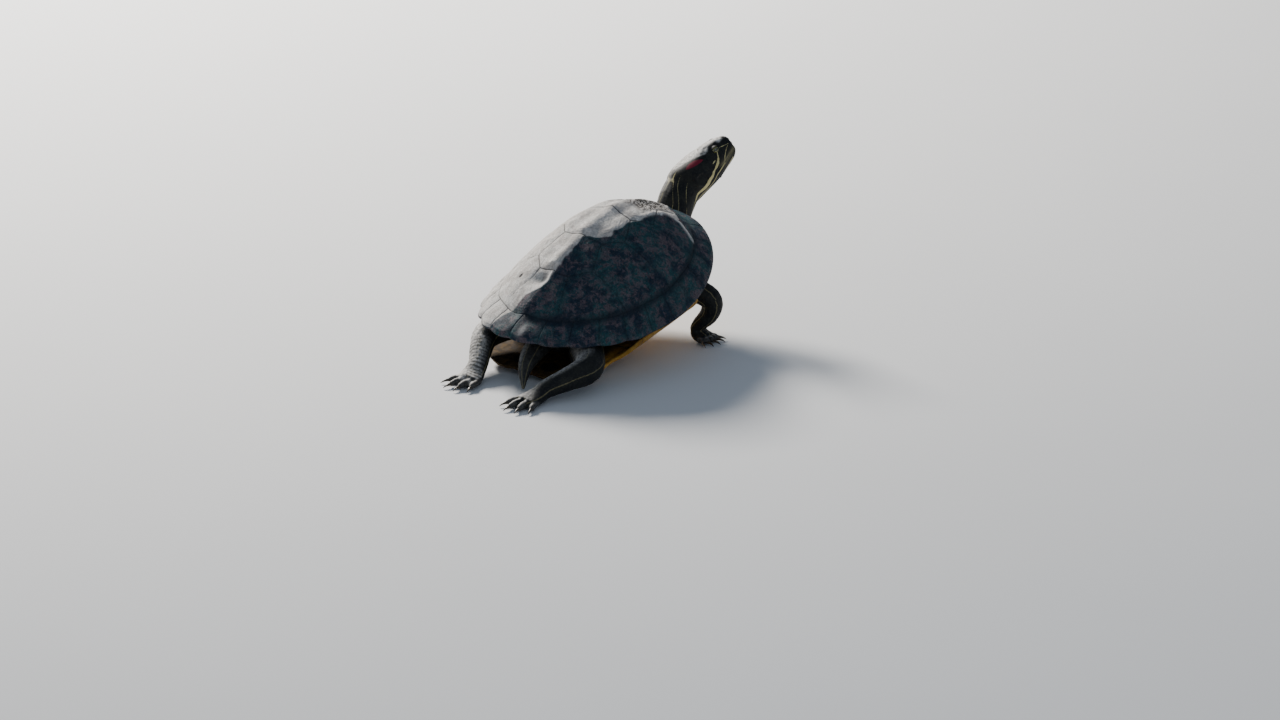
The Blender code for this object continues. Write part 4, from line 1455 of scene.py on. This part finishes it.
def lidded(local):
    """Skin points of the head, drawn over each eyeball as lids with an almond opening."""
    for side in SIDES:
        out, ahead, up = eye_axes(side)
        offset = local - on_side(EYE_CENTRE, side)
        depth, across, rise = offset @ out, offset @ ahead, offset @ up
        wide = np.hypot(across, rise)
        lid_height = np.where(rise > 0, UPPER_LID_RISE, LOWER_LID_DROP)
        opening = np.hypot(across / EYELID_HALF_WIDTH, rise / lid_height)
        lid = np.sqrt(np.maximum((EYE_RADIUS + LID_THICKNESS) ** 2 - wide ** 2, 0))
        lid += ridge(opening, LID_EDGE) + ridge(opening, LID_FOLD)
        higher = (depth + lid + np.sqrt((depth - lid) ** 2 + LID_BLEND)) / 2
        drawn = depth + (higher - depth) * (1 - eased(wide, EYE_RADIUS, LID_REACH))
        behind = np.sqrt(np.maximum((EYE_RADIUS - SOCKET_GAP) ** 2 - wide ** 2, 0))
        drawn = drawn + (behind - drawn) * (1 - eased(opening, *LID_OPENING))
        near = (wide < LID_REACH) & (depth > LID_ROOT)
        local = local + np.where(near, drawn - depth, 0)[:, None] * out
    return local


# ---- skin -----------------------------------------------------------------------------------

# A point belongs to a tube out to this share of its radius, and to the head this near its base
TUBE_REACH = 1.9
SEARCH_MARGIN = 2.2
HEAD_REACH = 60
# Where along the head's x axis the skin is the head's, and its stripes are laid out by the head
HEAD_START = (-6, 5)
HEAD_BLEND = (-18, 6)
# Where marks fade at a limb's root, as shares of its radius
SCALE_FADE = (1.25, 1.7)
LEG_STRIPE_FADE = (1.3, 1.6)
NECK_STRIPE_FADE = (1.35, 1.7)
STRIPE_LOSS = 2

# Stripes along each limb: (count, width, turn, seed)
LIMB_STRIPES = {
    "tail": (6, 0.4, 0.3, 3),
    "foreleg_right": (5, 0.4, 0.4, 2),
    "foreleg_left": (5, 0.4, 0.4, 3),
    "hindleg_right": (5, 0.4, 0.4, 4),
    "hindleg_left": (5, 0.4, 0.4, 5),
}
LIMB_DUST = {"tail": 0.1, "foreleg_left": 0.1}
TOE_DUST = 0.15
# Bands of dust on the left hind leg, painted only on its sunlit side as painted light: (mean, swing),
# spacing in mm, wobble, and how far it must face the sun
BAND_DUST = (0.8, 0.6)
BAND_SPACING = 3.1
BAND_WOBBLE = (3, 7, 1)
BAND_LIT_FACING = (-0.5, 0.1)
# Dust on whatever faces up, painted paler where it faces the sun as painted light, and the clean skin
# round the eyes in mm
TOP_DUST_AND_LIGHT = 1.1
TOP_LIT_FACING = (0.1, 0.75)
TOP_DUST_LEVEL = (0.15, 0.7)
CLEAN_ROUND_EYE = (5.0, 7.5)
# How faint the stripes are, on the limbs and, behind the head, on the neck
FAINTNESS = 0.8
NECK_FAINTNESS = 0.7
NECK_FAINT_FROM = (42, 58)

NECK_SCALE_DEPTH = 0.16
SCALE_DEPTH = 0.085
SCALE_EDGE = 0.16
FOLD_HEIGHT = 0.55
FOLD_SPACING = 6.5
FOLD_SPAN = (82, 100, 120, 130)
FOLD_WOBBLE = (1.2, 12, 1)
SKIN_LUMPS = (0.25, 7, 2)
TRUNK_LUMPS = (0.5, 5, 2)
TRUNK_LUMP_SCALE = np.array([1, 1, 0.45])
BEAK_START = (27, 33)
BEAK_HALF_HEIGHT = 2.0
SMOOTHING_ROUNDS = 4
# What an attribute holds, in millimetres, where no mark is near
FAR = 3.0


def skin_tubes():
    """Every limb and toe by name, the neck first."""
    tubes = {
        "neck": Tube(NECK, (0, 1, 0), BODY, NECK_SCALES),
        "tail": Tube(TAIL, (0, 1, 0), FLOOR_FRAME, TAIL_SCALES),
        "foreleg_right": Tube(FORE_RIGHT, (1, 0, 0), FLOOR_FRAME, FORELEG_SCALES),
        "foreleg_left": Tube(FORE_LEFT, (0.7, -0.7, 0), FLOOR_FRAME, FORELEG_SCALES),
        "hindleg_right": Tube(HIND_RIGHT, (0.25, 1, 0), FLOOR_FRAME, HINDLEG_SCALES),
        "hindleg_left": Tube(HIND_LEFT, (-0.2, 1, 0), FLOOR_FRAME, HINDLEG_SCALES),
    }
    for leg, fan in TOES.items():
        for number, toe in enumerate(fan, 1):
            tubes[f"{leg}_toe_{number}"] = toe_tube(toe)
    return tubes


def skin_mesh(tubes):
    """The flesh as one mesh, finer on the head and finest round the eyes."""
    forms = [trunk_form(), head_form()] + [tube.form() for tube in tubes]
    for leg, fan in TOES.items():
        reach = HIND_WEB_REACH if leg.startswith("hind") else FORE_WEB_REACH
        forms += [web_form(near, far, reach) for near, far in zip(fan, fan[1:])]
    mesh = fused(*joined(forms))
    smoothed(mesh, SMOOTHING_ROUNDS)
    softened_nape(mesh)
    refined(mesh, *HEAD_BOX)
    for side in SIDES:
        eye = on_side(EYE_CENTRE + Vector((0, EYE_BOX_OUT, 0)), side)
        refined(mesh, eye - EYE_BOX, eye + EYE_BOX)
    return mesh


def places_on(tubes, points):
    """The number of the tube that each point lies on, or -1, and its place there."""
    owner = np.full(len(points), -1)
    place = np.zeros((len(points), 4))
    place[:, 3] = TUBE_REACH
    for number, tube in enumerate(tubes):
        margin = SEARCH_MARGIN * tube.radii.max()
        low, high = tube.centres.min(axis=0) - margin, tube.centres.max(axis=0) + margin
        index = np.flatnonzero(np.all((points > low) & (points < high), axis=1))
        found = tube.locate(points[index])
        closer = found[:, 3] < place[index, 3]
        owner[index[closer]] = number
        place[index[closer]] = found[closer]
    return owner, place


def mixed(share, one, other):
    return share * one + (1 - share) * other


def build_skin():
    tubes = skin_tubes()
    mesh = skin_mesh(tubes.values())
    points = coordinates(mesh)
    facing = normals(mesh)
    sunny = facing @ unit(np.array(SUN_SIDE))
    owner, place = places_on(tubes.values(), points)
    local = moved(points, HEAD.inverted())
    near_head = np.linalg.norm(local, axis=1) < HEAD_REACH
    on_head = eased(local[:, 0], *HEAD_START) * near_head
    height, dust_and_light = np.zeros((2, len(points)))
    stripe, red, cell = np.full((3, len(points)), FAR)
    faint = np.full(len(points), FAINTNESS)

    for number, (name, tube) in enumerate(tubes.items()):
        index = np.flatnonzero(owner == number)
        here = place[index]
        first, second = nearest(tube.scale_centres(), tube.straightened(here))
        edge = (second - first) / 2
        size = min(tube.scale)
        fade = (1 - eased(here[:, 3], *SCALE_FADE)) * (1 - on_head[index])
        depth = NECK_SCALE_DEPTH if name == "neck" else SCALE_DEPTH * size
        height[index] += depth * (1 - np.exp(-(edge / (SCALE_EDGE * size)) ** 1.5)) * fade
        cell[index] = edge + FAR * (1 - fade)
        dust_and_light[index] = TOE_DUST if "toe" in name else LIMB_DUST.get(name, 0)
        if name in LIMB_STRIPES:
            stripe[index] = stripes_round(here, *LIMB_STRIPES[name])
        if name in TOES:
            stripe[index] += STRIPE_LOSS * eased(here[:, 3], *LEG_STRIPE_FADE)
        if name == "hindleg_left":
            bands = np.sin(2 * pi * here[:, 0] / BAND_SPACING + lumps(points[index], BAND_WOBBLE))
            # Painted light: the bands show only on the side that faces the sun
            dust_and_light[index] = (BAND_DUST[0] + BAND_DUST[1] * bands) * eased(sunny[index], *BAND_LIT_FACING)

    index = np.flatnonzero((owner == 0) | (on_head > 0))
    along, round_neck, from_middle, ratio = tubes["neck"].locate(points[index]).T
    x, y, z = local[index].T
    weight = eased(x, *HEAD_BLEND) * near_head[index]
    behind = HEAD_LENGTH - mixed(weight, x, along - tubes["neck"].lengths[-1])
    neck_angle = np.arctan2(np.abs(np.cos(round_neck)), -np.sin(round_neck))
    angle = mixed(weight, np.arctan2(np.abs(y), -z), neck_angle)
    out = mixed(weight, np.hypot(y, z), from_middle)
    side = mixed(weight, np.sign(y), np.sign(np.cos(round_neck)))
    faint[index] = NECK_FAINTNESS * eased(behind, *NECK_FAINT_FROM)
    # Dust on the crown, partly painted light on the sunlit side
    dust_and_light[index] = crown_dust_and_light(behind, np.degrees(angle), side)
    fields = [distance_to_stripe(line, behind, angle, out) for line in HEAD_STRIPES]
    lost = STRIPE_LOSS * eased(ratio, *NECK_STRIPE_FADE) * (1 - weight)
    stripe[index] = np.min(fields, axis=0) + lost
    red[index] = distance_to_stripe(RED_PATCH, behind, angle, out)
    folds = np.sin(2 * pi * behind / FOLD_SPACING + lumps(points[index], FOLD_WOBBLE))
    height[index] += FOLD_HEIGHT * folds * within(behind, FOLD_SPAN)

    height += head_relief(local) * on_head
    height += lumps(points, SKIN_LUMPS) * (1 - on_head)
    on_trunk = owner < 0
    height[on_trunk] += lumps(points[on_trunk] * TRUNK_LUMP_SCALE, TRUNK_LUMPS)
    x, _, z = local.T
    horny = on_head * eased(x, *BEAK_START) * bump(z - mouth_height(x), BEAK_HALF_HEIGHT)
    # Painted light: dust on what faces up is painted only where the skin also faces the sun
    top_dust_and_light = TOP_DUST_AND_LIGHT * eased(sunny, *TOP_LIT_FACING) * eased(facing[:, 2], *TOP_DUST_LEVEL)
    dust_and_light = np.maximum(dust_and_light, top_dust_and_light)
    for side in SIDES:
        from_eye = np.linalg.norm(local - on_side(EYE_CENTRE, side), axis=1)
        dust_and_light *= eased(from_eye, *CLEAN_ROUND_EYE)

    points = points + facing * (height - SKIN_INSET * (1 - on_head))[:, None]
    lids = moved(lidded(moved(points, HEAD.inverted())), HEAD)
    points = np.where(on_head[:, None] > 0.99, lids, points)
    points[:, 2] = np.maximum(points[:, 2], FLOOR_GAP)
    put_coordinates(mesh, points)
    for name, values in (("stripe_mm", stripe), ("red_mm", red), ("cell_mm", cell), ("horny", horny),
                         ("dust_and_light", dust_and_light), ("faint", faint)):
        put_attribute(mesh, name, values)
    mesh.shade_smooth()
    mesh.materials.clear()
    mesh.materials.append(skin_material())
    item = linked("skin", mesh)
    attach(item, "root")
    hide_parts("trunk", "neck", "head", "jaw", "tail",
                *[f"{leg}_{piece}" for leg in TOES for piece in ("upper", "lower", "foot")])


# ---- eyes and claws -------------------------------------------------------------------------

EYE_SEGMENTS = 48
EYE_RINGS = 32

CLAW_REACH = 8.1
CLAW_SET_BACK = 1.2
CLAW_HEIGHT = 2.6
CLAW_ARCH = 1.3
CLAW_FALL = 2.75
CLAW_RADIUS = 1.32
CLAW_TIP_RADIUS = 0.12
CLAW_NARROWNESS = 0.85
CLAW_FLOOR_GAP = 0.3
CLAW_RINGS = 12
CLAW_SIDES = 14


def build_eyes():
    for side, name in ((1, "eye_left"), (-1, "eye_right")):
        bpy.ops.mesh.primitive_uv_sphere_add(segments=EYE_SEGMENTS, ring_count=EYE_RINGS,
                                             radius=EYE_RADIUS * MM)
        item = bpy.context.object
        item.name = name.replace("eye", "eyeball")
        mesh = item.data
        out, ahead, up = eye_axes(side)
        points = coordinates(mesh)
        from_pupil = np.hypot(points @ ahead, points @ up)
        put_attribute(mesh, "out_mm", np.where(points @ out > 0, from_pupil, EYE_RADIUS))
        put_attribute(mesh, "bar_mm", np.abs(points @ up))
        put_coordinates(mesh, moved(points + on_side(EYE_CENTRE, side), HEAD))
        mesh.shade_smooth()
        mesh.materials.append(eye_material())
        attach(item, "root")
        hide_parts(name)


def claw_form(toe):
    """A claw that rises a little from its toe and curves down to a point."""
    x, y, _, heading, length, _ = toe
    ahead = level_direction(heading)
    side = np.cross([0, 0, 1], ahead)
    share = np.linspace(0, 1, CLAW_RINGS)
    root = np.array([x, y, CLAW_HEIGHT]) + ahead * (length - CLAW_SET_BACK)
    centres = root + ahead * CLAW_REACH * share[:, None]
    centres[:, 2] += CLAW_ARCH * share - CLAW_FALL * share ** 2.2
    thick = CLAW_RADIUS * (1 - share) ** 0.75 + CLAW_TIP_RADIUS
    up = np.cross(unit(np.gradient(centres, axis=0)), side)
    points = oval_rings(centres, side, up, thick * CLAW_NARROWNESS, thick, CLAW_SIDES).reshape(-1, 3)
    points[:, 2] = np.maximum(points[:, 2], CLAW_FLOOR_GAP)
    return moved(points, FLOOR_FRAME), tube_faces(CLAW_RINGS, CLAW_SIDES)


def build_claws():
    material = claw_material()
    for leg, fan in TOES.items():
        for number, toe in enumerate(fan, 1):
            item = mesh_object(f"{leg}_horn_{number}", *claw_form(toe))
            item.data.materials.append(material)
            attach(item, "root")
            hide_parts(f"{leg}_claw_{number}")


# ---- camera, light and floor ----------------------------------------------------------------

FLOOR_SIZE = 8
SKY_COLOUR = (0.62, 0.74, 0.92, 1)
SKY_STRENGTH = 0.34
AIM_HEIGHT = 0.05
# Lamps: (name, direction, distance and size in metres, watts, colour)
LAMPS = (("key", SUN_SIDE, 2.2, 0.5, 125, (1.0, 0.95, 0.88)),
         ("fill", (-0.55, -0.75, 0.55), 2.5, 1.6, 6, (0.80, 0.89, 1.0)))

CAMERA_AZIMUTH = radians(-51)
CAMERA_ELEVATION = radians(20)
CAMERA_DISTANCE = 14.0
FRAME_WIDTH = 0.970
SENSOR = 36
CLIP_START = 0.1
CLIP_END = 30
RIGHT_OF_SHELL = 34.2 * MM
BELOW_SHELL = 50.7 * MM


def stand(item, place, back):
    """Stands a lamp or camera at a place, with its back turned to the direction given."""
    item.location = place
    item.rotation_mode = "QUATERNION"
    item.rotation_quaternion = back.to_track_quat("Z", "Y")


def build_stage():
    bpy.ops.mesh.primitive_plane_add(size=FLOOR_SIZE)
    floor = bpy.context.object
    floor.name = "floor"
    floor.data.materials.append(floor_material())

    world = bpy.data.worlds.new("studio")
    bpy.context.scene.world = world
    world.use_nodes = True
    background = world.node_tree.nodes["Background"]
    background.inputs["Color"].default_value = SKY_COLOUR
    background.inputs["Strength"].default_value = SKY_STRENGTH

    for name, direction, distance, size, power, colour in LAMPS:
        data = bpy.data.lights.new(name, "AREA")
        data.size = size
        data.energy = power
        data.color = colour
        back = Vector(direction).normalized()
        stand(linked(name, data), back * distance + Vector((0, 0, AIM_HEIGHT)), back)


def build_camera():
    """A long lens, the turtle left of centre and above it."""
    back = Vector((sin(CAMERA_AZIMUTH) * cos(CAMERA_ELEVATION),
                   -cos(CAMERA_AZIMUTH) * cos(CAMERA_ELEVATION), sin(CAMERA_ELEVATION)))
    right = Vector((0, 0, 1)).cross(back).normalized()
    up = back.cross(right)
    under_shell = (SHIFT @ Vector((0, 0, RIM_HEIGHT))) * MM
    target = under_shell + right * RIGHT_OF_SHELL - up * BELOW_SHELL
    data = bpy.data.cameras.new("camera")
    data.sensor_width = SENSOR
    data.lens = SENSOR * CAMERA_DISTANCE / FRAME_WIDTH
    data.clip_start = CLIP_START
    data.clip_end = CLIP_END
    camera = linked("camera", data)
    stand(camera, target + back * CAMERA_DISTANCE, back)
    bpy.context.scene.camera = camera


build_stage()
build_camera()
build_carapace()
build_plastron()
build_skin()
build_eyes()
build_claws()
